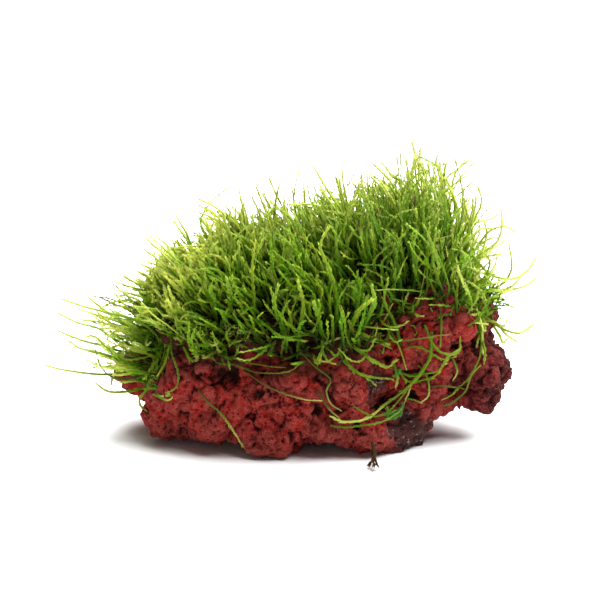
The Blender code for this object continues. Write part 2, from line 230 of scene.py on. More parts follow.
@dataclass(frozen=True)
class Scoria:
    """Red scoria: iron-rich lava that froze as a froth and rusted while it was hot.

    It was broken from a bed and only rinsed, so its face is matt and full of opened bubbles. That gives the
    eye a coral red on what stands out, a maroon that is nearly black in the holes and a fine sandy grain.
    The near black in the holes and pinholes is painted shade.
    """

    face: str = "#6C211B"
    # A dusty red on rubbed ridges, which also paints the foot lighter as light from the floor would.
    dusty_and_lit_foot: str = "#873E37"
    rust: str = "#841812"
    # The near black painted as shade in hollows, opened bubbles and pinholes.
    hollow: str = "#160401"
    # Painted shade on the block at the right end.
    block_shade: str = "#300B0C"
    # Dark glassy cinder, whose patches also paint shade in a crevice and on a face that looks down.
    cinder_and_shade: str = "#2A1915"
    # Grey specks on the cinder patches, painted glints.
    glint_grey: str = "#8D8080"
    # A dark brown film beside the moss, which also paints the moss's shadow on the stone.
    stain_and_moss_shadow: str = "#1C1407"
    roughness: float = 0.92
    # The cinder patches are half melted, so they shine a little more.
    cinder_roughness: float = 0.55
    ior: float = 1.52
    # Its holes swallow most of what a smooth face would mirror.
    shine: float = 0.1
    # The sizes of its patterns in millimetres. The froth's own grain is about 0.2 mm, and is drawn twice as
    # coarse so that it shows. Its smallest open bubbles and the slow drift of its rust are life-size.
    grain: float = 0.45
    bubble: float = 1.3
    drift: float = 8.0
    # How strongly each noise's finer parts show, next to its coarser ones.
    finer: float = 0.6
    # Where each pattern counts: its values from the first number to the second become a smooth 0 to 1.
    sandy: Pair = (0.35, 0.7)
    rusty: Pair = (0.42, 0.62)
    glints: Pair = (0.6, 0.68)
    holes: Pair = (0.36, 0.18)
    pitted: Pair = (0.39, 0.56)
    # How much of the painted glints' grey and of the pinholes' painted shade shows.
    glint_share: float = 0.8
    pinhole_shade_share: float = 0.75
    # How strongly the grains and the pinholes stand out, and how deep a pinhole is in millimetres.
    grain_strength: float = 0.55
    pinhole_strength: float = 0.8
    pinhole_depth: float = 0.4

    def material(self) -> bpy.types.Material:
        """Makes the stone's material.

        Returns:
            A material that reads the marks hollow, ridge, block, cinder and stain.
        """
        made = bpy.data.materials.new("red_scoria")
        made.use_nodes = True
        tree = made.node_tree
        shader = tree.nodes["Principled BSDF"]
        place = add_node(tree, "ShaderNodeTexCoord").outputs["Object"]
        values = {}
        for name in ("hollow", "ridge_and_lit_foot", "block", "cinder_and_shade", "stain_and_moss_shadow"):
            values[name] = add_node(tree, "ShaderNodeAttribute", attribute_name=name).outputs["Fac"]
        # Each noise: how many millimetres across its lumps are, and how finely they are broken up.
        for name, size, detail in (
            ("grains", self.grain, 2.0),
            ("rust", self.drift, 3.0),
            ("glint_specks", self.bubble, 2.0),
            ("pits", self.drift / 2, 2.0),
        ):
            links = {"Vector": place, "Scale": 1 / (size * MM), "Detail": detail, "Roughness": self.finer}
            values[name] = add_node(tree, "ShaderNodeTexNoise", links).outputs["Fac"]
        links = {"Vector": place, "Scale": 1 / (self.bubble * MM)}
        values["bubbles"] = add_node(tree, "ShaderNodeTexVoronoi", links).outputs["Distance"]
        for name, source, (low, high) in (
            ("sandy", "grains", self.sandy),
            ("rusty", "rust", self.rusty),
            ("glints", "glint_specks", self.glints),
            ("holes", "bubbles", self.holes),
            ("pitted", "pits", self.pitted),
        ):
            links = {"Value": values[source], "From Min": low, "From Max": high}
            stretch = add_node(tree, "ShaderNodeMapRange", links, interpolation_type="SMOOTHSTEP")
            values[name] = stretch.outputs[0]
        # What shows only where two of them meet, or in part.
        for name, first, second in (
            ("dust_and_lit_foot", values["ridge_and_lit_foot"], values["sandy"]),
            ("cinder_glints", values["cinder_and_shade"], values["glints"]),
            ("pinholes", values["holes"], values["pitted"]),
        ):
            both = {0: first, 1: second}
            values[name] = add_node(tree, "ShaderNodeMath", both, operation="MULTIPLY").outputs[0]
        for name, source, share in (
            ("shown_glints", "cinder_glints", self.glint_share),
            ("pinhole_shade", "pinholes", self.pinhole_shade_share),
        ):
            part = {0: values[source], 1: share}
            values[name] = add_node(tree, "ShaderNodeMath", part, operation="MULTIPLY").outputs[0]
        colour = linear(self.face)
        for name, coat in (
            ("rusty", self.rust),
            # The block at the right end, painted darker as shade.
            ("block", self.block_shade),
            # Dust on rubbed ridges, and the foot painted lighter as light from the floor would make it.
            ("dust_and_lit_foot", self.dusty_and_lit_foot),
            # The film beside the moss, which also paints the moss's shadow.
            ("stain_and_moss_shadow", self.stain_and_moss_shadow),
            # Cinder, which also paints the shade where its patches lie.
            ("cinder_and_shade", self.cinder_and_shade),
            # Grey specks on the cinder, painted glints.
            ("shown_glints", self.glint_grey),
            # The pinholes and the hollows are painted shade.
            ("pinhole_shade", self.hollow),
            ("hollow", self.hollow),
        ):
            laid_on = {0: values[name], 6: colour, 7: linear(coat)}
            colour = add_node(tree, "ShaderNodeMix", laid_on, data_type="RGBA").outputs[2]
        tree.links.new(colour, shader.inputs["Base Color"])
        matt = {"Value": values["cinder_and_shade"], "To Min": self.roughness, "To Max": self.cinder_roughness}
        gloss = add_node(tree, "ShaderNodeMapRange", matt)
        tree.links.new(gloss.outputs[0], shader.inputs["Roughness"])
        shader.inputs["IOR"].default_value = self.ior
        shader.inputs["Specular IOR Level"].default_value = self.shine
        sandy = {"Height": values["grains"], "Strength": self.grain_strength, "Distance": self.grain * MM}
        sand = add_node(tree, "ShaderNodeBump", sandy).outputs["Normal"]
        sunken = {
            "Height": values["pinholes"],
            "Strength": self.pinhole_strength,
            "Distance": self.pinhole_depth * MM,
            "Normal": sand,
        }
        pits = add_node(tree, "ShaderNodeBump", sunken, invert=True).outputs["Normal"]
        tree.links.new(pits, shader.inputs["Normal"])
        return made


@dataclass(frozen=True)
class LivingMoss:
    """Living java moss: leaves one cell thick on green stems, damp but not wet.

    The leaves are satin and let light through, so that tips against a bright ground glow yellow-green while
    the heart of the clump is nearly black. The pale cream on the tips paints part of that glow, and the deep
    green at the shoots' feet is partly painted shade.
    """

    name: str = "living_moss"
    # The dark green at the shoots' feet, which is partly painted shade in the clump.
    deep: str = "#26420A"
    body: str = "#6B9818"
    tip: str = "#BCCE50"
    old: str = "#4E3620"
    # A pale cream for the tips, which also paints the glow of light through them.
    pale: str = "#DFE582"
    roughness: float = 0.5
    ior: float = 1.42
    shine: float = 0.18
    # The share of the light that comes through a leaf, and how far hues and brightness vary by shoot.
    glow: float = 0.5
    hue_varies: float = 0.03
    bright_varies: float = 0.32
    # Between which places of a shoot its foot's colour turns into the body's, and the body's into the tip's.
    greens: Pair = (0.05, 0.45)
    lightens: Pair = (0.5, 1.05)
    # How much of the tip's colour there is at the very tip.
    tip_share: float = 0.9

    def material(self) -> bpy.types.Material:
        """Makes the moss's material.

        Returns:
            A material that reads the marks rise, tint, shade, age and bleach.
        """
        made = bpy.data.materials.new(self.name)
        made.use_nodes = True
        tree = made.node_tree
        shader = tree.nodes["Principled BSDF"]
        values = {}
        for name in ("rise", "tint", "shade", "age", "pale_and_glow"):
            values[name] = add_node(tree, "ShaderNodeAttribute", attribute_name=name).outputs["Fac"]
        hues = (0.5 - self.hue_varies, 0.5 + self.hue_varies / 2)
        lights = (1 - self.bright_varies / 2, 1 + self.bright_varies / 2)
        for name, source, (low, high), (start, end) in (
            ("green", "rise", self.greens, (0, 1)),
            ("light", "rise", self.lightens, (0, self.tip_share)),
            ("hue", "tint", (0, 1), hues),
            ("value", "shade", (0, 1), lights),
        ):
            links = {"Value": values[source], "From Min": low, "From Max": high}
            links.update({"To Min": start, "To Max": end})
            values[name] = add_node(tree, "ShaderNodeMapRange", links).outputs[0]
        colour = linear(self.deep)
        for name, coat in (("green", self.body), ("light", self.tip)):
            laid_on = {0: values[name], 6: colour, 7: linear(coat)}
            colour = add_node(tree, "ShaderNodeMix", laid_on, data_type="RGBA").outputs[2]
        varied = {"Color": colour, "Hue": values["hue"], "Value": values["value"]}
        colour = add_node(tree, "ShaderNodeHueSaturation", varied).outputs["Color"]
        for name, coat in (("age", self.old), ("pale_and_glow", self.pale)):
            laid_on = {0: values[name], 6: colour, 7: linear(coat)}
            colour = add_node(tree, "ShaderNodeMix", laid_on, data_type="RGBA").outputs[2]
        tree.links.new(colour, shader.inputs["Base Color"])
        shader.inputs["Roughness"].default_value = self.roughness
        shader.inputs["IOR"].default_value = self.ior
        shader.inputs["Specular IOR Level"].default_value = self.shine
        through = add_node(tree, "ShaderNodeBsdfTranslucent", {"Color": colour})
        shares = {0: self.glow, 1: shader.outputs[0], 2: through.outputs[0]}
        both = add_node(tree, "ShaderNodeMixShader", shares)
        tree.links.new(both.outputs[0], tree.nodes["Material Output"].inputs["Surface"])
        return made


@dataclass(frozen=True)
class StudioPaper:
    """Matt white background paper on a roll, which gives an even ground with no texture to see."""

    colour: str = "#F4F4F4"
    roughness: float = 0.85

    def material(self) -> bpy.types.Material:
        """Makes the paper's material.

        Returns:
            A plain matt white.
        """
        made = bpy.data.materials.new("studio_paper")
        made.use_nodes = True
        shader = made.node_tree.nodes["Principled BSDF"]
        shader.inputs["Base Color"].default_value = linear(self.colour)
        shader.inputs["Roughness"].default_value = self.roughness
        return made


@dataclass
class StoneFace:
    """The stone's finished face as the moss finds it: a place to root in, and a skin to keep clear of."""

    corners: np.ndarray
    normals: np.ndarray
    tree: BVHTree

    @classmethod
    def of(cls, mesh: bpy.types.Mesh) -> "StoneFace":
        """Reads the face from the stone's mesh.

        Args:
            mesh: The stone's finished mesh, in metres.

        Returns:
            The face, in millimetres.
        """
        mesh.calc_loop_triangles()
        points = np.zeros(len(mesh.vertices) * 3, np.float32)
        mesh.vertices.foreach_get("co", points)
        points = points.reshape(-1, 3).astype(float) / MM
        faces = np.zeros(len(mesh.loop_triangles) * 3, np.int32)
        mesh.loop_triangles.foreach_get("vertices", faces)
        faces = faces.reshape(-1, 3)
        corners = points[faces]
        crosses = np.cross(corners[:, 1] - corners[:, 0], corners[:, 2] - corners[:, 0])
        return cls(corners, crosses / 2, BVHTree.FromPolygons(points.tolist(), faces.tolist()))

    def scatter(
        self, count: int, chance: Callable[[np.ndarray, np.ndarray], np.ndarray], rng: np.random.Generator
    ) -> tuple[np.ndarray, np.ndarray]:
        """Picks places to root in, evenly over the face's area.

        Args:
            count: How many.
            chance: A function of places and normals that says how likely the moss roots there.
            rng: Where the draws come from.

        Returns:
            The places and the face's normals there.
        """
        normals = unit(self.normals)
        likely = chance(self.corners.mean(axis=1), normals) * np.linalg.norm(self.normals, axis=1)
        picked = rng.choice(len(likely), count, p=likely / likely.sum())
        shares = rng.dirichlet((1, 1, 1), count)
        return np.einsum("ij,ijk->ik", shares, self.corners[picked]), normals[picked]

    def keep_off(self, lines: np.ndarray, gap: float) -> np.ndarray:
        """Moves shoots out of the stone where they would pass through it.

        Args:
            lines: The points of the shoots.
            gap: How far off the face they stay, apart from their roots.

        Returns:
            The moved points.
        """
        for line in lines:
            for index in range(1, len(line)):
                point = Vector(line[index])
                place, normal, _, distance = self.tree.find_nearest(point)
                if distance < gap or (point - place).dot(normal) < 0:
                    line[index] = place + normal * gap
        return lines

    @staticmethod
    def within_reach(lines: np.ndarray) -> np.ndarray:
        """Draws shoots back towards their roots where they would leave the whole object's box.

        Args:
            lines: The points of the shoots.

        Returns:
            The shoots, shorter where they had to be.
        """
        low = np.array(cad_box[0]) / MM - REACH_OVER_BOX
        high = np.array(cad_box[1]) / MM + REACH_OVER_BOX
        roots = lines[:, :1]
        reach = lines - roots
        moved = np.abs(reach) > TINY
        room = np.where(reach > 0, high - roots, low - roots)
        shares = np.where(moved, room / np.where(moved, reach, 1), 1)
        shrink = shares.clip(LEAST_SHARE, 1).min(axis=(1, 2))
        return roots + reach * shrink[:, None, None]

    def front(self, x: float, z: float) -> float | None:
        """How far forward the stone stands at a place of its front view, or None beside it."""
        hit = self.tree.ray_cast(Vector((x, FAR_IN_FRONT, z)), Vector((0, 1, 0)))[0]
        return hit.y if hit else None


@dataclass
class LavaStone:
    """The lump of scoria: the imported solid's shape with the froth's own knobs, cracks and opened bubbles."""

    node: str = "lava_stone"
    slot: str = "red_lava"
    finish: Scoria = field(default_factory=Scoria)
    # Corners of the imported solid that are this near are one. Its skin is made of squares this wide, after so
    # many rounds of rounding.
    welded: float = 0.001
    mesh_width: float = 0.6
    rounding: int = 1
    # Rounding takes this much off the face, and it is put back.
    swell: float = 1.25
    # Spacing and height of what the face is made of, from the coarsest to the finest.
    crag: Pair = (8.0, 2.0)
    crease: Pair = (3.4, 1.4)
    crumb: Pair = (1.7, 0.55)
    # The clefts between its lumps: how wide a lump is, how deep a cleft is and its half-width.
    cleft: Triple = (13.0, 1.8, 0.5)
    # They come and go over this distance: their usual share of that depth, and how far it varies.
    cleft_varies: Triple = (9.0, 0.4, 1.6)
    # How far the outlines of lumps and of bubbles are bent, and over what distance.
    bent_lump: Pair = (5.0, 6.0)
    bent_bubble: Pair = (0.9, 1.7)
    # Opened bubbles: their spacing, their least and greatest half-widths as shares of it, their depth, and
    # the share of the places that has one.
    bubbles: tuple[tuple[float, float, float, float, float], ...] = (
        (9.0, 0.10, 0.24, 2.6, 0.55),
        (3.6, 0.12, 0.26, 1.4, 0.7),
        (1.9, 0.18, 0.38, 0.8, 0.75),
    )
    # How deep the narrowest is for the widest's 1, how dark the painted shade of a shallow one is, and the
    # depth that adds 1 to that.
    narrow_bubble: float = 0.4
    shallow_dark: float = 0.35
    dark_depth: float = 3.0
    # What keeps the patterns of the three axes, of the sizes of bubble and of single bubbles apart.
    axes_apart: float = 31.7
    sizes_apart: Triple = (7.3, 2.1, 5.9)
    bubbles_apart: float = 9.7
    # Soft-edged patches: the middle and the half-widths of each.
    # The cinder patches lie on a face that looks down and in a deep crevice, and also paint the shade there.
    cinder_patches: tuple[Patch, ...] = (((34, -25, 5), (10, 14, 8)), ((25, -28, 19.5), (4.5, 8, 5)))
    # Painted shade on the block at the right end.
    block_shade: Patch = ((60, -8, 16), (14, 20, 17))
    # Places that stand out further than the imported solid, or less far: the patch and the height.
    bulges: tuple[tuple[Triple, Triple, float], ...] = (
        ((63, -8, 26), (5, 16, 4), 1.8),
        ((66, -8, 8), (4, 16, 4), -2.2),
        ((-44, -14, 12), (5, 14, 7), -1.2),
        ((-17, -29, 23.8), (5, 12, 2.6), -3.5),
        ((26, -28, 15), (4, 8, 4), 1.5),
    )
    # The moss line, below which the stone is bare, from left to right.
    moss_line: Table = ((-48, 30), (-33, 31), (-18, 29), (6, 29), (26, 31.5), (34, 41), (46, 41), (54, 36))
    # How often the face is evened out to find its small hollows and its wide ones.
    small_rounds: int = 5
    wide_rounds: int = 70
    # In each round a vertex keeps that much of its place and takes the rest from its neighbours.
    keeps: float = 0.3
    takes: float = 0.7
    # At which depths the painted shade in them starts and ends, and how dark that painted shade makes them
    # and the opened bubbles.
    small_hollow: Pair = (0.04, 0.3)
    wide_hollow: Pair = (0.2, 1.5)
    small_hollow_shade: float = 0.5
    wide_hollow_shade: float = 0.85
    bubble_shade: float = 0.7
    # What stands out that far is rubbed pale. The foot, between those heights, is in part painted lighter, as
    # the light from the floor would make it. The block's painted shade leaves it less pale.
    rubbed: Pair = (-0.02, -0.22)
    lit_foot: Pair = (12.0, 3.0)
    lit_foot_share: float = 0.6
    block_spared: float = 0.6
    block_strength: float = 1.5
    # The edges of patches wander over that distance. How far they do, where a cinder patch starts and is
    # whole, and how much of its colour shows.
    wander: float = 5.0
    cinder_wanders: float = 0.4
    cinder_edge: Pair = (0.3, 0.75)
    cinder_share: float = 0.9
    # The brown film beside the moss, which also paints the moss's shadow on the stone below the moss line:
    # how far it wanders, between which heights over the moss line it grows, how strong it is, and how much of
    # it is missing on the right of the front, between which X and Y.
    film_wanders: float = 6.0
    film_edge: Pair = (-12.0, 4.0)
    film_share: float = 0.92
    film_missing: float = 0.75
    clean_x: Pair = (18.0, 30.0)
    clean_y: Pair = (0.0, -15.0)

    def build(self) -> StoneFace:
        """Makes and dresses the stone.

        Returns:
            The face that the moss grows on.
        """
        mesh = self._skin()
        count = len(mesh.vertices)
        points, normals = np.zeros(count * 3, np.float32), np.zeros(count * 3, np.float32)
        mesh.vertices.foreach_get("co", points)
        mesh.vertices.foreach_get("normal", normals)
        points = points.reshape(-1, 3).astype(float) / MM
        normals = normals.reshape(-1, 3).astype(float)
        relief = np.array([self._relief(Vector(point)) for point in points])
        bulge = sum(height * self.patch(points, *patch) for *patch, height in self.bulges)
        points += normals * (relief[:, :1] + self.swell + bulge[:, None])
        points[:, 2] = points[:, 2].clip(0)
        mesh.calc_loop_triangles()
        triangles = np.zeros(len(mesh.loop_triangles) * 3, np.int32)
        mesh.loop_triangles.foreach_get("vertices", triangles)
        triangles = triangles.reshape(-1, 3)
        bpy.data.meshes.remove(mesh)
        marks = self._marks(points, normals, triangles, relief[:, 1])
        obj = new_piece("scoria_lump", points, triangles, marks)
        obj.data.materials.append(self.finish.material())
        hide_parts(self.node)
        return StoneFace.of(obj.data)

    def _skin(self) -> bpy.types.Mesh:
        """Makes a fine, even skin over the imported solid.

        Returns:
            The skin as a mesh of small squares.
        """
        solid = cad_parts[self.node].data
        bm = bmesh.new()
        bm.from_mesh(solid)
        bmesh.ops.remove_doubles(bm, verts=bm.verts, dist=self.welded * MM)
        welded = bpy.data.meshes.new("stone_in_work")
        bm.to_mesh(welded)
        bm.free()
        obj = bpy.data.objects.new("stone_in_work", welded)
        bpy.context.scene.collection.objects.link(obj)
        rounded = obj.modifiers.new("rounded", "SUBSURF")
        rounded.levels = rounded.render_levels = self.rounding
        squares = obj.modifiers.new("squares", "REMESH")
        squares.mode = "VOXEL"
        squares.voxel_size = self.mesh_width * MM
        graph = bpy.context.evaluated_depsgraph_get()
        made = bpy.data.meshes.new_from_object(obj.evaluated_get(graph))
        bpy.data.objects.remove(obj)
        return made

    def _relief(self, place: Vector) -> Pair:
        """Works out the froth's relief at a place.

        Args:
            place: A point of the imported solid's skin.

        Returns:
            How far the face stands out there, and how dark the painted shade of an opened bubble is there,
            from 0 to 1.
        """
        stands_out = 0.0
        for spacing, height in (self.crag, self.crease):
            stands_out += height * (noise.turbulence(place / spacing, 3, True) - 0.5)
        spacing, height = self.crumb
        stands_out += height * (0.5 - noise.voronoi(place / spacing)[0][0])
        spacing, depth, half_width = self.cleft
        nearest, second = noise.voronoi(self._bent(place, *self.bent_lump) / spacing)[0][:2]
        narrow = math.exp(-((spacing * (second - nearest) / half_width) ** 2) / 2)
        distance, usual, varies = self.cleft_varies
        stands_out -= depth * narrow * min(1.0, max(0.0, usual + varies * noise.noise(place / distance)))
        opened = 0.0
        place = self._bent(place, *self.bent_bubble)
        for number, (spacing, least, most, depth, share) in enumerate(self.bubbles, start=1):
            distances, middles = noise.voronoi(place / spacing + Vector(self.sizes_apart) * number)
            lot, width, _ = noise.cell_vector(middles[0] * self.bubbles_apart)
            reach = least + (most - least) * width
            if lot < share and distances[0] < reach:
                open_share = math.sqrt(1 - (distances[0] / reach) ** 2)
                stands_out -= depth * (self.narrow_bubble + (1 - self.narrow_bubble) * width) * open_share
                opened = max(opened, open_share * min(1.0, self.shallow_dark + depth / self.dark_depth))
        return stands_out, opened

    def _bent(self, place: Vector, far: float, over: float) -> Vector:
        """The place moved by up to that far, in a way that drifts over that distance."""
        shifts = [noise.noise(place / over + Vector((self.axes_apart * axis, 0, 0))) for axis in range(3)]
        return place + Vector(shifts) * far

    def _marks(
        self, points: np.ndarray, normals: np.ndarray, triangles: np.ndarray, opened: np.ndarray
    ) -> dict[str, np.ndarray]:
        """Works out what the material reads at each vertex.

        Args:
            points: The stone's vertices.
            normals: Their normals.
            triangles: Its faces.
            opened: How dark the painted shade of an opened bubble is at each vertex.

        Returns:
            The marks hollow, ridge, block, cinder and stain, each from 0 to 1.
        """
        x, y, z = points.T
        small = self._sunk(points, normals, triangles, self.small_rounds)
        wide = self._sunk(points, normals, triangles, self.wide_rounds)
        wobble = np.array([noise.noise(Vector(point) / self.wander) for point in points])
        # Painted shade in small and wide hollows and in opened bubbles.
        dark = between(*self.small_hollow, small) * self.small_hollow_shade
        dark += between(*self.wide_hollow, wide) * self.wide_hollow_shade + opened * self.bubble_shade
        # Painted shade on the block at the right end.
        block = np.minimum(1, self.block_strength * self.patch(points, *self.block_shade))
        # Rubbed ridges, and the foot painted lighter as light from the floor would make it.
        pale = np.minimum(1, between(*self.rubbed, small) + self.lit_foot_share * between(*self.lit_foot, z))
        # Dark glassy patches, which also paint shade in a crevice and on a face that looks down.
        cinder_and_shade = sum(self.patch(points, *patch) for patch in self.cinder_patches)
        cinder_and_shade += wobble * self.cinder_wanders
        # The brown film beside the moss, which also paints the moss's shadow on the stone below it.
        over_line = z - along_table(x, self.moss_line) + wobble * self.film_wanders
        film = self.film_share - self.film_missing * between(*self.clean_x, x) * between(*self.clean_y, y)
        return {
            "hollow": dark.clip(0, 1),
            "ridge_and_lit_foot": pale * (1 - self.block_spared * block),
            "block": block,
            "cinder_and_shade": between(*self.cinder_edge, cinder_and_shade) * self.cinder_share,
            "stain_and_moss_shadow": between(*self.film_edge, over_line) * film,
        }

    @staticmethod
    def patch(points: np.ndarray, middle: Triple, half_widths: Triple) -> np.ndarray:
        """How deep each point lies in a soft-edged patch, up to 1 in its middle."""
        return np.exp(-(((points - middle) / half_widths) ** 2).sum(axis=1))

    def _sunk(
        self, points: np.ndarray, normals: np.ndarray, triangles: np.ndarray, rounds: int
    ) -> np.ndarray:
        """Works out how far each vertex lies below the face around it.

        Args:
            points: The vertices.
            normals: Their normals.
            triangles: The faces.
            rounds: How often the face is evened out, which sets how wide a hollow counts.

        Returns:
            The depth in millimetres, which is less than 0 on what stands out.
        """
        starts = triangles.ravel()
        ends = np.roll(triangles, -1, axis=1).ravel()
        around = np.bincount(starts, minlength=len(points))[:, None].clip(1)
        even = points.copy()
        for _ in range(rounds):
            sums = [np.bincount(starts, even[ends, axis], len(points)) for axis in range(3)]
            even = self.keeps * even + self.takes * np.stack(sums, axis=1) / around
        return ((even - points) * normals).sum(axis=1)


class Habit(Enum):
    """How leafy a shoot of moss is."""

    LEAFY = "leafy"
    BRANCH = "branch"
    SPARSE = "sparse"
    BARE = "bare"
    FULL = "full"
    WIRY = "wiry"
    BROAD = "broad"


@dataclass(frozen=True)
class ShootForm:
    """One shoot of moss: a thin three-sided stem with small pointed leaves along two sides of it."""

    leaves: int
    # The stem's half-width at its foot, and how much thinner it is at its tip.
    stem: float
    leaf_length: float
    leaf_width: float
    taper: float = 0.45
    # How far the leaves open from the stem in degrees, at its foot and at its tip, and how that varies.
    opening: float = 20.0
    tip_opening: float = 14.0
    opening_varies: float = 5.0
    # How unevenly they are spaced, how far they turn round the stem, and how far each blade tilts.
    uneven: float = 0.3
    twist: float = 0.6
    tilt: float = 0.25
    # Their size along the shoot, and how much it varies.
    sizes: Table = ((0, 0.6), (0.2, 1), (0.8, 0.95), (1, 0.8))
    size_varies: float = 0.15
    # Where along its length a leaf is widest, and how much its tip turns back along the stem.
    widest: float = 0.42
    turned_in: float = 0.08
    # How much further up the shoot the corners of a leaf count for its colour: its foot, sides and tip.
    lighter: tuple[float, ...] = (0, 0.03, 0.03, 0.08)

    def shapes(
        self, lines: np.ndarray, pole: np.ndarray, rng: np.random.Generator
    ) -> tuple[np.ndarray, np.ndarray, np.ndarray, np.ndarray]:
        """Makes the stems and leaves of many shoots at once.

        Args:
            lines: The points of the shoots, from foot to tip.
            pole: For each shoot, a direction that its flat side faces.
            rng: Where the draws come from.

        Returns:
            The vertices, the triangles, how far up its shoot each vertex is, and the number of its shoot.
        """
        stems = self._stems(lines, pole)
        leaves = self._leaves(lines, pole, rng)
        points = np.concatenate([stems[0], leaves[0]])
        triangles = np.concatenate([stems[1], leaves[1] + len(stems[0])])
        rises = np.concatenate([stems[2], leaves[2]])
        numbers = np.concatenate([stems[3], leaves[3]])
        return points, triangles, rises, numbers

    @staticmethod
    def _axes(along: np.ndarray, pole: np.ndarray) -> tuple[np.ndarray, np.ndarray]:
        """The direction to a shoot's side and the one that its flat side faces, where it runs along."""
        side = unit(np.cross(along, pole))
        return side, np.cross(side, along)

    def _stems(self, lines: np.ndarray, pole: np.ndarray) -> tuple[np.ndarray, ...]:
        """Makes the stems.

        Args:
            lines: The points of the shoots.
            pole: For each shoot, a direction that its flat side faces.

        Returns:
            Their vertices and triangles, and each vertex's rise and shoot number.
        """
        shoots, rings, _ = lines.shape
        side, face = self._axes(unit(np.gradient(lines, axis=1)), pole[:, None])
        rise = np.linspace(0, 1, rings)
        half_width = (self.stem * (1 - self.taper * rise**2))[None, :, None, None]
        turns = np.arange(3) / 3 * math.tau
        around = side[:, :, None] * np.cos(turns)[:, None] + face[:, :, None] * np.sin(turns)[:, None]
        points = (lines[:, :, None] + around * half_width).reshape(-1, 3)
        ring = np.array([[0, 1, 4], [0, 4, 3], [1, 2, 5], [1, 5, 4], [2, 0, 3], [2, 3, 5]])
        starts = (np.arange(shoots)[:, None] * rings + np.arange(rings - 1)).ravel() * 3
        triangles = (starts[:, None, None] + ring).reshape(-1, 3)
        rises = np.broadcast_to(rise[None, :, None], (shoots, rings, 3)).ravel()
        numbers = np.repeat(np.arange(shoots), rings * 3)
        return points, triangles, rises, numbers

    def _leaves(
        self, lines: np.ndarray, pole: np.ndarray, rng: np.random.Generator
    ) -> tuple[np.ndarray, ...]:
        """Makes the leaves, each of two triangles.

        Args:
            lines: The points of the shoots.
            pole: For each shoot, a direction that its flat side faces.
            rng: Where the draws come from.

        Returns:
            Their vertices and triangles, and each vertex's rise and shoot number.
        """
        shoots, rings, _ = lines.shape
        each = (shoots, self.leaves)
        rise = (np.arange(self.leaves) + 0.5 + rng.uniform(-self.uneven, self.uneven, each)) / self.leaves
        at = rise * (rings - 1)
        below = np.clip(at.astype(int), 0, rings - 2)
        share = (at - below)[:, :, None]
        rows = np.arange(shoots)[:, None]
        foot = lines[rows, below] * (1 - share) + lines[rows, below + 1] * share
        along = unit(lines[rows, below + 1] - lines[rows, below])
        side, face = self._axes(along, pole[:, None])
        sign = np.where(np.arange(self.leaves) % 2, 1.0, -1.0)[None, :, None]
        twist = rng.normal(0, self.twist, each)[:, :, None]
        out = side * np.cos(twist) * sign + face * np.sin(twist)
        opening = self.opening + (self.tip_opening - self.opening) * rise**2
        opening = np.radians(opening + rng.normal(0, self.opening_varies, each))[:, :, None]
        heading = along * np.cos(opening) + out * np.sin(opening)
        blade = unit(np.cross(heading, np.cross(along, out) + rng.normal(0, self.tilt, (*each, 3))))
        size = along_table(rise, self.sizes) * rng.uniform(1 - self.size_varies, 1 + self.size_varies, each)
        length = (self.leaf_length * size)[:, :, None]
        half_width = (self.leaf_width / 2 * size)[:, :, None]
        middle = foot + heading * length * self.widest
        tip = foot + heading * length + along * length * self.turned_in
        points = np.stack([foot, middle + blade * half_width, middle - blade * half_width, tip], axis=2)
        starts = np.arange(shoots * self.leaves)[:, None, None] * 4
        triangles = (starts + np.array([[0, 1, 3], [0, 3, 2]])).reshape(-1, 3)
        rises = np.repeat(rise.ravel(), 4) + np.tile(self.lighter, shoots * self.leaves)
        numbers = np.repeat(np.arange(shoots), self.leaves * 4)
        return points.reshape(-1, 3), triangles, rises, numbers


FORMS = {
    Habit.LEAFY: ShootForm(leaves=54, stem=0.28, leaf_length=1.3, leaf_width=0.52),
    Habit.BRANCH: ShootForm(leaves=26, stem=0.25, leaf_length=1.15, leaf_width=0.5),
    Habit.SPARSE: ShootForm(leaves=46, stem=0.28, leaf_length=1.1, leaf_width=0.45),
    Habit.BARE: ShootForm(leaves=24, stem=0.38, leaf_length=0.8, leaf_width=0.3),
    Habit.FULL: ShootForm(leaves=60, stem=0.44, leaf_length=1.5, leaf_width=0.62, taper=0.35, opening=24.0),
    Habit.WIRY: ShootForm(leaves=58, stem=0.48, leaf_length=1.3, leaf_width=0.55, taper=0.25),
    Habit.BROAD: ShootForm(
        leaves=96, stem=0.5, leaf_length=1.7, leaf_width=0.7, opening=23.0, tip_opening=16.0
    ),
}


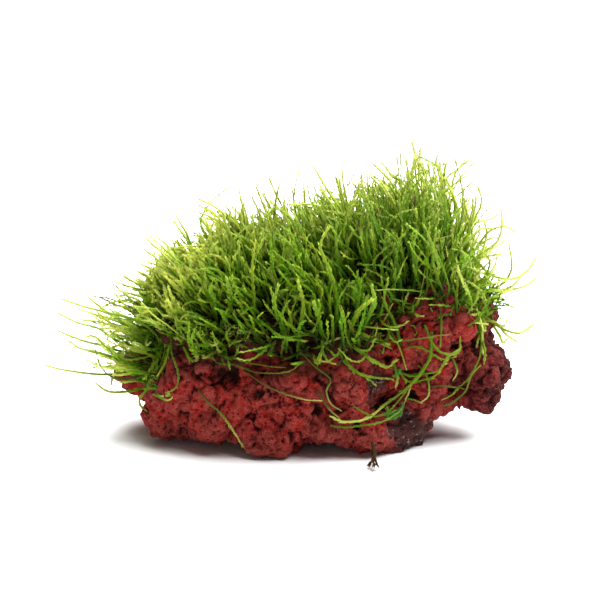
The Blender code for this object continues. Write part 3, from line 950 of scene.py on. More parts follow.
@dataclass
class Shoots:
    """Shoots that are made into one piece: their lines, and what the material reads of each."""

    lines: np.ndarray
    rng: np.random.Generator
    # How old each shoot is; a pair is one age at the foot and another at the tip.
    age: np.ndarray | Pair | float = 0.0
    # How cream-coloured each shoot's tip is; that cream paints the glow of light through it.
    pale_and_glow: np.ndarray | float = 0.0
    # How far the colours run from the shoot's foot, which is dark, to its tip, which is light. These are set
    # for the light and shade that fall on each group, so they partly paint that light and shade.
    lowest: np.ndarray | float = 0.0
    lightest: np.ndarray | float = 1.0
    # Between which places of a shoot its cream colour sets in.
    creams: Pair = (0.4, 0.95)
    # The share of the shoots with a dry tip, where it sets in and how brown it is.
    dry_share: float = 0.3
    dries: Pair = (0.94, 0.99)
    dry_brown: float = 0.6

    def piece(self, name: str, form: ShootForm, finish: bpy.types.Material, *nodes: str) -> bpy.types.Object:
        """Makes the shoots.

        Args:
            name: The piece's name.
            form: How each shoot is made.
            finish: The moss's material.
            nodes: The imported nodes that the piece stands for.

        Returns:
            The piece's object.
        """
        count = len(self.lines)
        chord = self.lines[:, -1] - self.lines[:, 0]
        pole = unit(np.cross(chord, self.rng.normal(size=(count, 3))))
        points, triangles, rise, number = form.shapes(self.lines, pole, self.rng)
        marks = {
            "rise": between_ends(self.lowest, self.lightest, count, number, rise),
            "tint": self.rng.uniform(0, 1, count)[number],
            "shade": self.rng.uniform(0, 1, count)[number],
            "age": self._ages(rise, number),
            "pale_and_glow": np.broadcast_to(self.pale_and_glow, count)[number] * between(*self.creams, rise),
        }
        obj = new_piece(name, points, triangles, marks)
        obj.data.materials.append(finish)
        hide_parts(*nodes)
        return obj

    def _ages(self, rise: np.ndarray, number: np.ndarray) -> np.ndarray:
        """Works out how old each vertex looks.

        Args:
            rise: How far along its shoot each vertex lies.
            number: Which shoot it belongs to.

        Returns:
            A share of the old shoots' brown for each vertex.
        """
        if isinstance(self.age, tuple):
            return np.interp(rise, (0, 1), self.age)
        count = len(self.lines)
        dry = self.rng.uniform(size=count) < self.dry_share
        dry_tip = dry[number] * between(*self.dries, rise) * self.dry_brown
        return np.maximum(np.broadcast_to(self.age, count)[number], dry_tip)


def bent_lines(knots: list[np.ndarray], points: int) -> np.ndarray:
    """Draws a smooth curve through the pull of four knots for each shoot.

    Args:
        knots: The curves' first ends, two knots that pull on them, and their last ends.
        points: How many points each curve gets.

    Returns:
        The curves' points.
    """
    share = np.linspace(0, 1, points)[None, :, None]
    first, second, third, last = (knot[:, None] for knot in knots)
    return (
        first * (1 - share) ** 3
        + second * 3 * share * (1 - share) ** 2
        + third * 3 * share**2 * (1 - share)
        + last * share**3
    )


def smooth_way(knots: np.ndarray, step: float) -> np.ndarray:
    """Draws a smooth curve that passes through places.

    Args:
        knots: The places, in two dimensions.
        step: How far apart the curve's points are, about.

    Returns:
        The curve's points.
    """
    knots = np.concatenate([[2 * knots[0] - knots[1]], knots, [2 * knots[-1] - knots[-2]]])
    stretches = []
    for before, start, end, after in zip(knots, knots[1:], knots[2:], knots[3:]):
        count = max(2, round(np.linalg.norm(end - start) / step))
        share = np.linspace(0, 1, count, endpoint=False)[:, None]
        square = 2 * before - 5 * start + 4 * end - after
        cube = 3 * start - before - 3 * end + after
        stretches.append(start + ((end - before) * share + square * share**2 + cube * share**3) / 2)
    return np.concatenate([*stretches, knots[-2:-1]])


# Where along a shoot it may fork, how long a branch is for the rest of the shoot, how its angle varies, how
# far it bends back to the shoot's way, and where the pulls on its curve lie.
FORKS_AT = (0.2, 0.6)
BRANCH_SHARES = (0.55, 0.95)
ANGLE_VARIES = 0.25
BENDS_BACK = 0.35
BRANCH_PULLS = (0.35, 0.7)


def side_branches(
    lines: np.ndarray, share: float, spread: float, rng: np.random.Generator
) -> tuple[np.ndarray, np.ndarray]:
    """Lets some shoots fork into a shorter one on the way up.

    Args:
        lines: The shoots' points.
        share: How many of them fork.
        spread: How far the branch turns off, in degrees.
        rng: Where the draws come from.

    Returns:
        The branches' points, and the number of the shoot that each grows from.
    """
    count, points, _ = lines.shape
    parents = np.flatnonzero(rng.uniform(size=count) < share)
    fork = rng.integers(int(points * FORKS_AT[0]), int(points * FORKS_AT[1]), len(parents))
    root = lines[parents, fork]
    along = unit(lines[parents, fork + 1] - root)
    off = unit(np.cross(along, rng.normal(size=along.shape)))
    rest = np.linalg.norm(lines[parents, -1] - root, axis=1)[:, None]
    turn = np.radians(rng.normal(spread, spread * ANGLE_VARIES, len(parents)))[:, None]
    way = along * np.cos(turn) + off * np.sin(turn)
    length = rest * rng.uniform(*BRANCH_SHARES, (len(parents), 1))
    tip = root + unit(way + along * BENDS_BACK) * length
    second, third = (root + way * length * pull for pull in BRANCH_PULLS)
    branches = bent_lines([root, second, third, tip], BRANCH_POINTS)
    return StoneFace.within_reach(branches), parents


def one_sided_bend(way: np.ndarray, most: float, rng: np.random.Generator) -> np.ndarray:
    """Draws how far the middle of each shoot bows out to a side.

    Args:
        way: Which way the shoots point.
        most: The usual bow as a share of the shoot's length.
        rng: Where the draws come from.

    Returns:
        A vector for each shoot, square to its way, as a share of its length.
    """
    side = unit(np.cross(way, rng.normal(size=way.shape)))
    return side * np.abs(rng.normal(0, most, (len(way), 1)))


def old_shoots(count: int, share: float, ages: Pair, rng: np.random.Generator) -> np.ndarray:
    """Draws which shoots of a clump are old, and how old those look."""
    return (rng.uniform(size=count) < share) * rng.uniform(*ages, count)


@dataclass
class MossCushion:
    """The wide clump on the stone's top, whose shoots lean to the left and fan out at the right end."""

    stone: LavaStone
    face: StoneFace
    finish: bpy.types.Material
    rng: np.random.Generator
    node: str = "moss_cushion"
    shoots: int = 1800
    # The cushion is parted into pieces at these X, from left to right.
    partings: tuple[float, ...] = (-10.0, 28.0)

    # Where the stone is under moss: the heights over the moss line, the Z of the stone's normals and the X at
    # the left end over which the cover becomes whole.
    covers_height: Pair = (-1.5, 2.5)
    covers_slope: Pair = (-0.5, 0.1)
    covers_x: Pair = (-46.0, -40.0)
    # Long shoots are seldom low on the steep sides: the normals, the X and the heights over the moss line
    # where that holds, and by how much they are fewer.
    steep: Pair = (0.75, 0.2)
    steep_x: Pair = (-40.0, -32.0)
    low: Pair = (13.0, 3.0)
    seldom: float = 0.75
    # How thickly they stand, left to right, and the X over which the clump lets light through at either end.
    thickness: Table = ((-46, 0.8), (-34, 1), (-22, 1), (25, 1), (34, 1.25), (43, 1.1), (49, 0.7), (54, 0.2))
    thin_left: Pair = (-5.0, -30.0)
    thin_right: Pair = (44.0, 54.0)

    # How far they lean to the right for each unit that they rise, left to right, and how many millimetres
    # forth or back they root for each unit that they lean that way.
    lean: Table = ((-53, -1.3), (-33, -0.8), (-8, -0.45), (18, -0.28), (38, -0.15), (46, -0.05), (56, 0.1))
    lean_to_front: float = 50.0
    # How long they are, left to right.
    length: Table = (
        (-46, 7),
        (-38, 10),
        (-30, 14.5),
        (-13, 20),
        (8, 22),
        (18, 25),
        (28, 26),
        (35, 31),
        (42, 34),
        (50, 22),
        (60, 11),
    )
    # Where they stay shorter and leave a hollow in the front: the middle and the half-widths of each patch of
    # their roots, and by how much.
    hollows: tuple[tuple[Triple, Triple, float], ...] = (
        ((25, -26, 43), (10, 9, 9), 0.45),
        ((12, -28, 40), (6, 7, 6), 0.35),
        ((-21, -28, 38), (8, 9, 6), 0.35),
    )
    # The locks: how many, how far their ways are strewn, how much less at the crest between these X, and how
    # tall they are for their place.
    locks: int = 130
    locks_strewn: float = 0.34
    crest_x: Pair = (20.0, 36.0)
    crest_calm: float = 0.6
    lock_heights: Pair = (0.78, 1.12)
    # The shoots of a lock: the shortest for the longest's 1 and how the rest are spread, the share that
    # stands out and by how much, and how far their tips draw together.
    shortest: float = 0.42
    spread: Pair = (1.8, 1.6)
    stray_share: float = 0.1
    stray_heights: Pair = (1.1, 1.3)
    gathered: float = 0.36
    # How much of a shoot's way is its own and how much its lock's, and how far it is strewn.
    own_way: float = 0.45
    lock_way: float = 0.55
    strewn: float = 0.17
    # How a shoot starts: how much it stands off the stone and how far that is strewn.
    off_stone: float = 0.6
    start_strewn: float = 0.4
    # Where the pulls on its curve lie, how far it bows to a side, between which X that doubles, how much of
    # the bow the first pull takes, and how far the second is strewn.
    pulls: Pair = (0.38, 0.7)
    bow: float = 0.3
    bow_doubles_x: Pair = (42.0, 50.0)
    first_bow: float = 0.5
    second_strewn: float = 0.09
    # How far the shoots stay off the stone.
    gap: float = 0.5
    # The share that forks and at what angle, and the share that is old and how old those look.
    forks: float = 0.5
    fork_angle: float = 34.0
    old_share: float = 0.025
    ages: Pair = (0.4, 0.9)

    # How pale the tips are, left to right, which paints the glow of light through them. Towards the front they
    # turn dark between these Y, in the clump's painted shade. That starts further forth at the left, over
    # these X.
    pale: Table = ((-46, 0.33), (-30, 0.29), (-12, 0.23), (36, 0.2), (42, 0.4), (48, 0.8), (56, 0.95))
    shaded_front: Pair = (-8.0, -32.0)
    less_shaded: float = 14.0
    less_shaded_x: Pair = (-22.0, -34.0)
    # How light the feet are where the light comes through: the X and the lightness at the right and the left.
    light_feet: tuple[Triple, Triple] = ((44.0, 54.0, 0.4), (-12.0, -32.0, 0.35))
    # How light the tips are in the shade, how much is added in the light and where the clump is thin, and
    # how much is taken off below the crest, between these X, in the shade and once more in the light.
    shaded_tips: float = 0.66
    lit_tips: float = 0.3
    thin_tips: float = 0.65
    under_crest: float = 0.1
    under_crest_x: tuple[Pair, Pair] = ((12.0, 22.0), (48.0, 40.0))
    branch_feet: float = 0.3

    def growth(self, roots: np.ndarray) -> np.ndarray:
        """Works out which way the shoots point at their tips.

        Args:
            roots: Where they grow.

        Returns:
            A direction for each.
        """
        lean = along_table(roots[:, 0], self.lean)
        forth = (roots[:, 1] - STONE_MIDDLE_Y) / self.lean_to_front
        return unit(np.stack([lean, forth, np.ones(len(roots))], axis=1))

    def over_line(self, places: np.ndarray) -> np.ndarray:
        """How high each place lies over the moss line."""
        return places[:, 2] - along_table(places[:, 0], self.stone.moss_line)

    def covered(self, places: np.ndarray, normals: np.ndarray) -> np.ndarray:
        """How much of the stone is under moss at each place."""
        high_up = between(*self.covers_height, self.over_line(places))
        return high_up * between(*self.covers_slope, normals[:, 2]) * between(*self.covers_x, places[:, 0])

    def rooted(self, places: np.ndarray, normals: np.ndarray) -> np.ndarray:
        """Works out how likely a long shoot roots at each place.

        Args:
            places: Places on the stone.
            normals: The stone's normals there.

        Returns:
            A weight for each.
        """
        steep = between(*self.steep, normals[:, 2]) * between(*self.steep_x, places[:, 0])
        seldom = 1 - self.seldom * steep * between(*self.low, self.over_line(places))
        return self.covered(places, normals) * seldom * along_table(places[:, 0], self.thickness)

    def thin(self, places: np.ndarray) -> np.ndarray:
        """How near each place lies to the left or the right end, where the clump lets the light through."""
        return np.maximum(between(*self.thin_left, places[:, 0]), between(*self.thin_right, places[:, 0]))

    def build(self) -> None:
        """Makes the cushion's long shoots and their branches."""
        roots, normals = self.face.scatter(self.shoots, self.rooted, self.rng)
        lines = self._lines(roots, normals)
        branches, parents = side_branches(lines, self.forks, self.fork_angle, self.rng)
        old = old_shoots(len(roots), self.old_share, self.ages, self.rng)
        pale, feet, tips = self._colours(roots)
        edges = (-np.inf, *self.partings, np.inf)
        for name, low, high in zip(("left", "middle", "right"), edges, edges[1:]):
            ours = (roots[:, 0] >= low) & (roots[:, 0] < high)
            group = Shoots(lines[ours], self.rng, old[ours], pale[ours], feet[ours], tips[ours])
            group.piece(f"moss_cushion_{name}", FORMS[Habit.LEAFY], self.finish, self.node)
            forked = ours[parents]
            owners = parents[forked]
            group = Shoots(
                branches[forked], self.rng, old[owners], pale[owners], self.branch_feet, tips[owners]
            )
            group.piece(f"moss_cushion_{name}_branches", FORMS[Habit.BRANCH], self.finish, self.node)

    def _colours(self, roots: np.ndarray) -> tuple[np.ndarray, np.ndarray, np.ndarray]:
        """Works out how the light falls on the shoots.

        Args:
            roots: Where they grow.

        Returns:
            How cream-coloured each one's tip is, and how light its foot and its tip are.
        """
        x, y, _ = roots.T
        lit = between(*self.shaded_front[::-1], y + self.less_shaded * between(*self.less_shaded_x, x))
        feet = sum(light * between(start, end, x) for start, end, light in self.light_feet)
        rising, falling = self.under_crest_x
        dim = self.under_crest * (between(*rising, x) * between(*falling, x))
        tips = self.shaded_tips - dim + lit * (self.lit_tips + self.thin_tips * self.thin(roots) - dim)
        return along_table(x, self.pale) * lit, feet, tips

    def _lines(self, roots: np.ndarray, normals: np.ndarray) -> np.ndarray:
        """Bends the shoots towards the tips of the locks that they belong to.

        Args:
            roots: Where they grow.
            normals: The stone's normals there.

        Returns:
            The shoots' points.
        """
        count, rng = len(roots), self.rng
        heads = roots[rng.choice(count, self.locks, replace=False)]
        strewn = rng.normal(0, self.locks_strewn, heads.shape)
        strewn *= 1 - self.crest_calm * between(*self.crest_x, heads[:, :1])
        head_ways = unit(self.growth(heads) + strewn)
        owner = ((roots[:, None] - heads[None]) ** 2).sum(axis=2).argmin(axis=1)
        tall = rng.uniform(*self.lock_heights, self.locks)[owner]
        stray = rng.uniform(size=count) < self.stray_share
        long = np.where(stray, rng.uniform(*self.stray_heights, count), 1)
        share = self.shortest + (1 - self.shortest) * rng.beta(*self.spread, count)
        length = along_table(roots[:, 0], self.length)
        length *= tall * long * share
        for middle, half_widths, by in self.hollows:
            length *= 1 - by * LavaStone.patch(roots, middle, half_widths)
        way = self.growth(roots) * self.own_way + head_ways[owner] * self.lock_way
        way = unit(way + rng.normal(0, self.strewn, roots.shape))
        tips = roots + way * length[:, None]
        tips += (heads[owner] + head_ways[owner] * length[:, None] - tips) * self.gathered
        way = unit(tips - roots)
        first = unit(normals * self.off_stone + way + rng.normal(0, self.start_strewn, roots.shape))
        bowed = length * (1 + between(*self.bow_doubles_x, roots[:, 0]))
        bow = one_sided_bend(way, self.bow, rng) * bowed[:, None]
        near, far = self.pulls
        second = roots + first * (length * near)[:, None] + bow * self.first_bow
        third = roots + (tips - roots) * far + bow
        third += rng.normal(0, self.second_strewn, roots.shape) * length[:, None]
        lines = self.face.within_reach(bent_lines([roots, second, third, tips], SHOOT_POINTS))
        return self.face.keep_off(lines, self.gap)


@dataclass
class Undergrowth:
    """The short, old shoots that cover the stone between the feet of the cushion's long ones."""

    cushion: MossCushion
    shoots: int = 1300
    length: Pair = (4.0, 9.0)
    # How much they lean as the cushion does, and how far their ways are strewn.
    leaning: float = 0.6
    strewn: float = 0.6
    # Where the pulls on a shoot's curve lie, and how many millimetres the second is strewn.
    pulls: Pair = (0.3, 0.6)
    second_strewn: float = 1.2
    gap: float = 0.5
    ages: Pair = (0.0, 0.35)
    # How light the tips are under the clump, and how much is added where it is thin.
    shaded_tips: float = 0.15
    thin_tips: float = 0.5

    def build(self) -> None:
        """Makes the undergrowth as one piece."""
        cushion, rng = self.cushion, self.cushion.rng
        roots, normals = cushion.face.scatter(self.shoots, cushion.covered, rng)
        length = rng.uniform(*self.length, (len(roots), 1))
        leaning = cushion.growth(roots) * self.leaning
        way = unit(normals + leaning + rng.normal(0, self.strewn, roots.shape))
        near, far = self.pulls
        second = roots + normals * length * near
        third = roots + way * length * far + rng.normal(0, self.second_strewn, roots.shape)
        lines = bent_lines([roots, second, third, roots + way * length], BRANCH_POINTS)
        old = rng.uniform(*self.ages, len(roots))
        tips = self.shaded_tips + self.thin_tips * cushion.thin(roots)
        group = Shoots(cushion.face.keep_off(lines, self.gap), rng, old, lightest=tips)
        group.piece("moss_undergrowth", FORMS[Habit.BRANCH], cushion.finish, cushion.node)


@dataclass
class HangingEdge:
    """The shoots along the moss line that stick out, hang over the bare stone and curl up again."""

    cushion: MossCushion
    shoots: int = 260
    # They root in a band: the heights over the moss line where it starts and ends, and the Z of the stone's
    # normals.
    starts: Pair = (-1.0, 2.0)
    ends: Pair = (11.0, 6.0)
    slope: Pair = (0.9, 0.5)
    # How long they are, left to right, and how that varies.
    length: Table = ((-40, 9), (-10, 11), (10, 13), (22, 19), (36, 15), (50, 11))
    length_varies: Pair = (0.6, 1.2)
    # How much of the stone's normal is upright in their way out.
    upright: float = 0.3
    # As shares of their length: how far they turn to a side, how far they drop, and how far their tips curl
    # up again if they drop more than a little.
    sideways: float = 0.75
    drops: Pair = (-0.3, 0.8)
    little_drop: float = 0.1
    curls: Pair = (0.1, 1.0)
    # How far out the two pulls on the curve and the tip lie, and how much of the turn the pulls take.
    out: Triple = (0.4, 0.4, 0.25)
    turns: Pair = (0.2, 0.6)
    gap: float = 0.7
    old_share: float = 0.15
    ages: Pair = (0.3, 0.8)
    # How cream-coloured the tips are, how light the feet are and how light the tips are: in the thick of the
    # clump, and what is added where it is thin.
    pale_and_glow: Pair = (0.1, 0.5)
    feet: Pair = (0.0, 0.2)
    tips: Pair = (0.9, 0.15)

    def rooted(self, places: np.ndarray, normals: np.ndarray) -> np.ndarray:
        """Works out how likely a hanging shoot roots at each place.

        Args:
            places: Places on the stone.
            normals: The stone's normals there.

        Returns:
            A weight for each.
        """
        over = self.cushion.over_line(places)
        band = between(*self.starts, over) * between(*self.ends, over)
        return self.cushion.covered(places, normals) * band * between(*self.slope, normals[:, 2])

    def build(self) -> None:
        """Makes the hanging edge as one piece."""
        cushion, rng = self.cushion, self.cushion.rng
        roots, normals = cushion.face.scatter(self.shoots, self.rooted, rng)
        each = (len(roots), 1)
        out = unit(normals * (1, 1, self.upright))
        side = np.cross(out, (0, 0, 1)) * rng.normal(0, self.sideways, each)
        drop = rng.uniform(*self.drops, each)
        curl = rng.uniform(*self.curls, each) * (drop > self.little_drop)
        length = along_table(roots[:, :1], self.length) * rng.uniform(*self.length_varies, each)
        down = np.array((0, 0, -1.0))
        second = roots + (out * self.out[0] + side * self.turns[0]) * length
        third = roots + (out * self.out[1] + side * self.turns[1] + down * drop) * length
        tips = roots + (out * self.out[2] + side + down * (drop - curl)) * length
        lines = cushion.face.within_reach(bent_lines([roots, second, third, tips], SHOOT_POINTS))
        lines = cushion.face.keep_off(lines, self.gap)
        old = old_shoots(len(roots), self.old_share, self.ages, rng)
        looks = [usual + added * cushion.thin(roots) for usual, added in (self.pale_and_glow, self.feet, self.tips)]
        group = Shoots(lines, rng, old, *looks)
        group.piece("moss_hanging_edge", FORMS[Habit.SPARSE], cushion.finish, cushion.node)


@dataclass
class MossTuft:
    """A tuft at one end of the stone, whose shoots fan out past it."""

    name: str
    node: str
    face: StoneFace
    finish: bpy.types.Material
    shoots: int
    # Where the shoots root: the middle and the half-widths of each patch of the stone's face.
    patches: tuple[Patch, ...]
    # Which way along X they grow, how much they rise for it from the lowest root to the highest, and how far
    # their tips turn to the front and the back.
    along: float
    rise: Table
    turn: float
    length: Pair
    # How far they sag on the way, and how far their tips turn up again, and how both vary.
    sag: float = 0.0
    curl: float = 0.0
    sag_varies: Pair = (0.3, 1.3)
    curl_varies: Pair = (-0.3, 1.0)
    # How far they bow to a side, as a share of their length, and how far their ways are strewn.
    bow: float = 0.15
    strewn: float = 0.22
    # How cream-coloured their tips are, and how light their feet, their tips and their branches' feet are.
    pale_and_glow: float = 0.2
    lowest: float = 0.0
    lightest: float = 1.3
    branch_feet: float = 0.35
    habit: Habit = Habit.LEAFY
    # How deep in a patch and how upright the stone's normal is where they start to root and root most.
    depth: Pair = (0.1, 0.7)
    slope: Pair = (-0.8, -0.2)
    # How much of that length they keep, which varies.
    short: Pair = (0.75, 1.0)
    # How a shoot starts: how much it stands off the stone and how far that is strewn.
    off_stone: float = 0.7
    start_strewn: float = 0.3
    # Where the pulls on its curve lie, and how much of the bow the first takes.
    pulls: Pair = (0.36, 0.7)
    first_bow: float = 0.5
    gap: float = 0.6
    # The share that forks and at what angle, and the share that is old and how old those look.
    forks: float = 0.4
    fork_angle: float = 26.0
    old_share: float = 0.1
    ages: Pair = (0.3, 0.9)

    def rooted(self, places: np.ndarray, normals: np.ndarray) -> np.ndarray:
        """How likely a shoot roots at each place."""
        patches = sum(LavaStone.patch(places, *patch) for patch in self.patches)
        return between(*self.depth, patches) * between(*self.slope, normals[:, 2])

    def build(self) -> None:
        """Makes the tuft's shoots and their branches."""
        rng = draws(self.name)
        roots, normals = self.face.scatter(self.shoots, self.rooted, rng)
        count = len(roots)
        forth = (roots[:, 1] - STONE_MIDDLE_Y) * self.turn
        way = np.stack([np.full(count, self.along), forth, along_table(roots[:, 2], self.rise)], axis=1)
        way = unit(way + rng.normal(0, self.strewn, (count, 3)))
        length = rng.uniform(*self.length, (count, 1)) * rng.uniform(*self.short, (count, 1))
        up = np.array((0, 0, 1.0))
        sag = self.sag * rng.uniform(*self.sag_varies, (count, 1)) * length
        bow = one_sided_bend(way, self.bow, rng) * length
        curl = self.curl * rng.uniform(*self.curl_varies, (count, 1)) * length
        start = unit(normals * self.off_stone + way + rng.normal(0, self.start_strewn, roots.shape))
        near, far = self.pulls
        second = roots + start * length * near + bow * self.first_bow
        third = roots + way * length * far + bow - up * sag
        tips = roots + way * length + up * (curl - sag)
        lines = self.face.within_reach(bent_lines([roots, second, third, tips], SHOOT_POINTS))
        lines = self.face.keep_off(lines, self.gap)
        branches, parents = side_branches(lines, self.forks, self.fork_angle, rng)
        old = old_shoots(count, self.old_share, self.ages, rng)
        group = Shoots(lines, rng, old, self.pale_and_glow, self.lowest, self.lightest)
        group.piece(f"{self.name}_shoots", FORMS[self.habit], self.finish, self.node)
        group = Shoots(branches, rng, old[parents], self.pale_and_glow, self.branch_feet, self.lightest)
        group.piece(f"{self.name}_branches", FORMS[Habit.BRANCH], self.finish, self.node)


@dataclass
class ArchingShoots:
    """Long shoots that stand out past a clump's outline, each along a way of its own."""

    name: str
    node: str
    face: StoneFace
    finish: bpy.types.Material
    # For each shoot, the depths of its foot and its tip, and the places that it passes as X and Z.
    ways: tuple[Way, ...]
    habit: Habit = Habit.FULL
    # How cream-coloured their tips are, and how light their feet, their tips and their branches' feet are.
    pale_and_glow: float = 0.65
    lowest: float = 0.2
    lightest: float = 1.25
    branch_feet: float = 0.4
    # How many shorter shoots stand beside each, how long they are for it, and how many millimetres off.
    companions: int = 0
    shorter: Pair = (0.75, 0.97)
    strewn: float = 1.6
    # How far below its foot a shoot may root along its own way; past that it roots at the nearest stone.
    reach: float = 20.0
    # How much that way leads down, and the least Z of the stone's normal that it may root on.
    downwards: float = 0.6
    least_slope: float = -0.2
    gap: float = 0.5
    # The share that forks and at what angle.
    forks: float = 0.3
    fork_angle: float = 30.0

    def build(self) -> None:
        """Makes the shoots as one piece and their side branches as another."""
        rng = draws(self.name)
        lines = [self._line(depths, np.array(knots, float)) for depths, knots in self.ways]
        for line in list(lines):
            for _ in range(self.companions):
                shorter = line[0] + (line - line[0]) * rng.uniform(*self.shorter)
                drift = rng.normal(0, self.strewn, 3) * np.linspace(0, 1, len(line))[:, None]
                lines.append(shorter + drift + rng.normal(0, self.strewn / 2, 3))
        lines = self.face.keep_off(self.face.within_reach(np.stack(lines)), self.gap)
        length = np.linalg.norm(np.diff(lines, axis=1), axis=2).sum(axis=1).mean()
        form = FORMS[self.habit]
        form = replace(form, leaves=round(form.leaves * length / TYPICAL_LENGTH))
        looks = {"pale_and_glow": self.pale_and_glow, "lightest": self.lightest}
        group = Shoots(lines, rng, lowest=self.lowest, **looks)
        group.piece(f"{self.name}_shoots", form, self.finish, self.node)
        branches, _ = side_branches(lines, self.forks, self.fork_angle, rng)
        group = Shoots(branches, rng, lowest=self.branch_feet, **looks)
        group.piece(f"{self.name}_branches", FORMS[Habit.BRANCH], self.finish, self.node)

    def _line(self, depths: Pair, knots: np.ndarray) -> np.ndarray:
        """Draws one shoot from the stone to its tip.

        Args:
            depths: The Y of its foot and of its tip.
            knots: The places that it passes, as X and Z.

        Returns:
            Its points.
        """
        flat = smooth_way(knots, 1.0)
        depth = np.interp(self._along(flat), (0, 1), depths)
        line = np.stack([flat[:, 0], depth, flat[:, 1]], axis=1)
        root, below = self._root(line)
        whole = np.concatenate([[root], below, line[1:]])
        along = self._along(whole)
        even = np.linspace(0, 1, ARCH_POINTS)
        return np.stack([np.interp(even, along, whole[:, axis]) for axis in range(3)], axis=1)

    @staticmethod
    def _along(line: np.ndarray) -> np.ndarray:
        """How far along a line each of its points lies, from 0 to 1."""
        steps = np.linalg.norm(np.diff(line, axis=0), axis=1)
        return np.concatenate([[0], np.cumsum(steps)]) / steps.sum()

    def _root(self, line: np.ndarray) -> tuple[np.ndarray, np.ndarray]:
        """Finds where a shoot grows from the stone, and how it comes up from there.

        Args:
            line: The shoot's known points, from the lowest to its tip.

        Returns:
            The root, and the points between it and the line's first one.
        """
        foot = line[0]
        back = unit(foot - line[2])
        way = Vector(unit(back + (0, 0, -self.downwards)))
        hit, normal, _, _ = self.face.tree.ray_cast(Vector(foot), way, self.reach)
        upright = hit is not None and normal.z > self.least_slope
        root = np.array(hit if upright else self.face.tree.find_nearest(Vector(foot))[0])
        gap = np.linalg.norm(foot - root)
        share = np.linspace(0, 1, max(2, int(gap)))[1:, None]
        bow = (foot + back * gap / 2 - (root + foot) / 2) * 2 * share * (1 - share)
        return root, root + (foot - root) * share + bow


# The ways of the shoots that stand out past the clumps, as the class above reads them.
LEFT_ARCHES = (
    ((-17, -20), ((-36.3, 29.8), (-43.4, 36), (-51.9, 38.8), (-59, 40.8), (-65.5, 43.3))),
    ((-4, -8), ((-42.2, 24.1), (-51.6, 27.2), (-57.4, 31.4), (-63.2, 33.2), (-69.2, 36.5))),
    ((-5, -6), ((-42.1, 23.8), (-49.6, 23.8), (-56.1, 25.7), (-62.9, 27.7), (-69.4, 30.5))),
    ((-12, -15), ((-41.5, 18.1), (-48.7, 22.9), (-56.5, 25.9), (-61.7, 27.3), (-64.7, 29.6))),
    ((1, -3), ((-42, 26), (-51.5, 30.1), (-57.3, 32.3), (-63.2, 33.2))),
    ((9, 8), ((-43.5, 25.4), (-53.3, 29.9), (-59.7, 32.2), (-65.7, 34.2))),
    ((-3, 1), ((-40.7, 25.4), (-48.9, 31), (-55.9, 35.4), (-61.1, 39.4))),
    ((-16, -13), ((-37.9, 28.6), (-45.2, 34.4), (-52, 37.2), (-58.4, 41.8))),
    ((-13, -10), ((-41.7, 16.3), (-45.9, 19.7), (-52.7, 23.4), (-60, 25.3))),
    ((-12, -15), ((-41.5, 16.9), (-47.2, 23.3), (-52.9, 26.5), (-57.1, 30.9), (-59.7, 30.8))),
    ((-14, -14), ((-41.6, 16.2), (-46.6, 19.3), (-50.6, 23), (-54.7, 24.5))),
    ((-10, -12), ((-46.1, 18.5), (-52.4, 18.4), (-58, 18.5), (-66.8, 19.9), (-72.6, 21.5))),
    ((-15, -18), ((-41.5, 15.9), (-47.6, 14.6), (-53.4, 14.9), (-56.7, 17.6))),
    ((-15, -19), ((-40.9, 16.5), (-44.5, 18), (-49.2, 18.2))),
    ((-25, -28), ((-39.5, 18.7), (-36.6, 17.4), (-33.9, 17.1), (-33.2, 18.3))),
    ((-13, -9), ((-42, 16.3), (-40.8, 21.4), (-39.1, 25.7), (-41.5, 30))),
    ((-15, -12), ((-40.6, 16.5), (-38.2, 21.1), (-37.3, 26.4), (-36.8, 29.8))),
    ((-26, -23), ((-40.9, 17.7), (-43.4, 14.5), (-43, 12.1), (-41.4, 10.6))),
    ((-10, -7), ((-48.2, 18.5), (-52.6, 17.8), (-53.8, 14))),
    ((-15, -18), ((-41.2, 15.9), (-38, 20.4), (-35.5, 25.9), (-34.1, 31.2))),
)
LEFT_HANGING = (
    ((-16, -22), ((-36.1, 31.6), (-36.6, 26.1), (-38.2, 21.5), (-40.7, 17.5))),
    ((-14, -20), ((-38, 30.6), (-38.2, 25.6), (-39.6, 21), (-41.2, 17.6))),
    ((-19, -24), ((-34.3, 30.9), (-35.2, 25.9), (-37.1, 21.2), (-39.6, 17.8))),
    ((-12, -19), ((-40, 28.3), (-39.6, 23.7), (-40.6, 19.7), (-41.6, 17))),
    ((-17, -24), ((-36.9, 30.4), (-37.3, 27.4), (-39.2, 23.8), (-41.6, 20.8))),
)
FRONT_FRONDS = (
    ((-34, -41), ((9.9, 33.9), (8.5, 41), (7, 46.6))),
    ((-34, -40), ((16.6, 34.5), (15.4, 39.8), (14.4, 45.3))),
    ((-36, -40), ((-7.4, 40.1), (-2.3, 36.6), (4.3, 35.7))),
    ((-35, -40), ((-2.4, 39.9), (-4, 45.6), (-2.8, 51.2))),
    ((-32, -37), ((13.3, 39.2), (13.2, 47.5), (10.9, 55.7), (8.7, 61.5), (10.9, 66.7))),
    ((-34, -38), ((-9.6, 46), (-10, 55.4), (-8.8, 63))),
    ((-35, -41), ((3.2, 37.6), (4, 45.4), (2.7, 52.5))),
    ((-34, -38), ((21.6, 39.7), (23.7, 45.3), (23, 50.7))),
    ((-30, -36), ((-18.6, 38.6), (-16.1, 45), (-17, 52.3))),
    ((-30, -35), ((29.2, 39.9), (26.7, 45.6), (27.6, 51.8))),
    ((-35, -40), ((17.1, 37.6), (19.2, 43.3), (22.7, 47.2))),
)
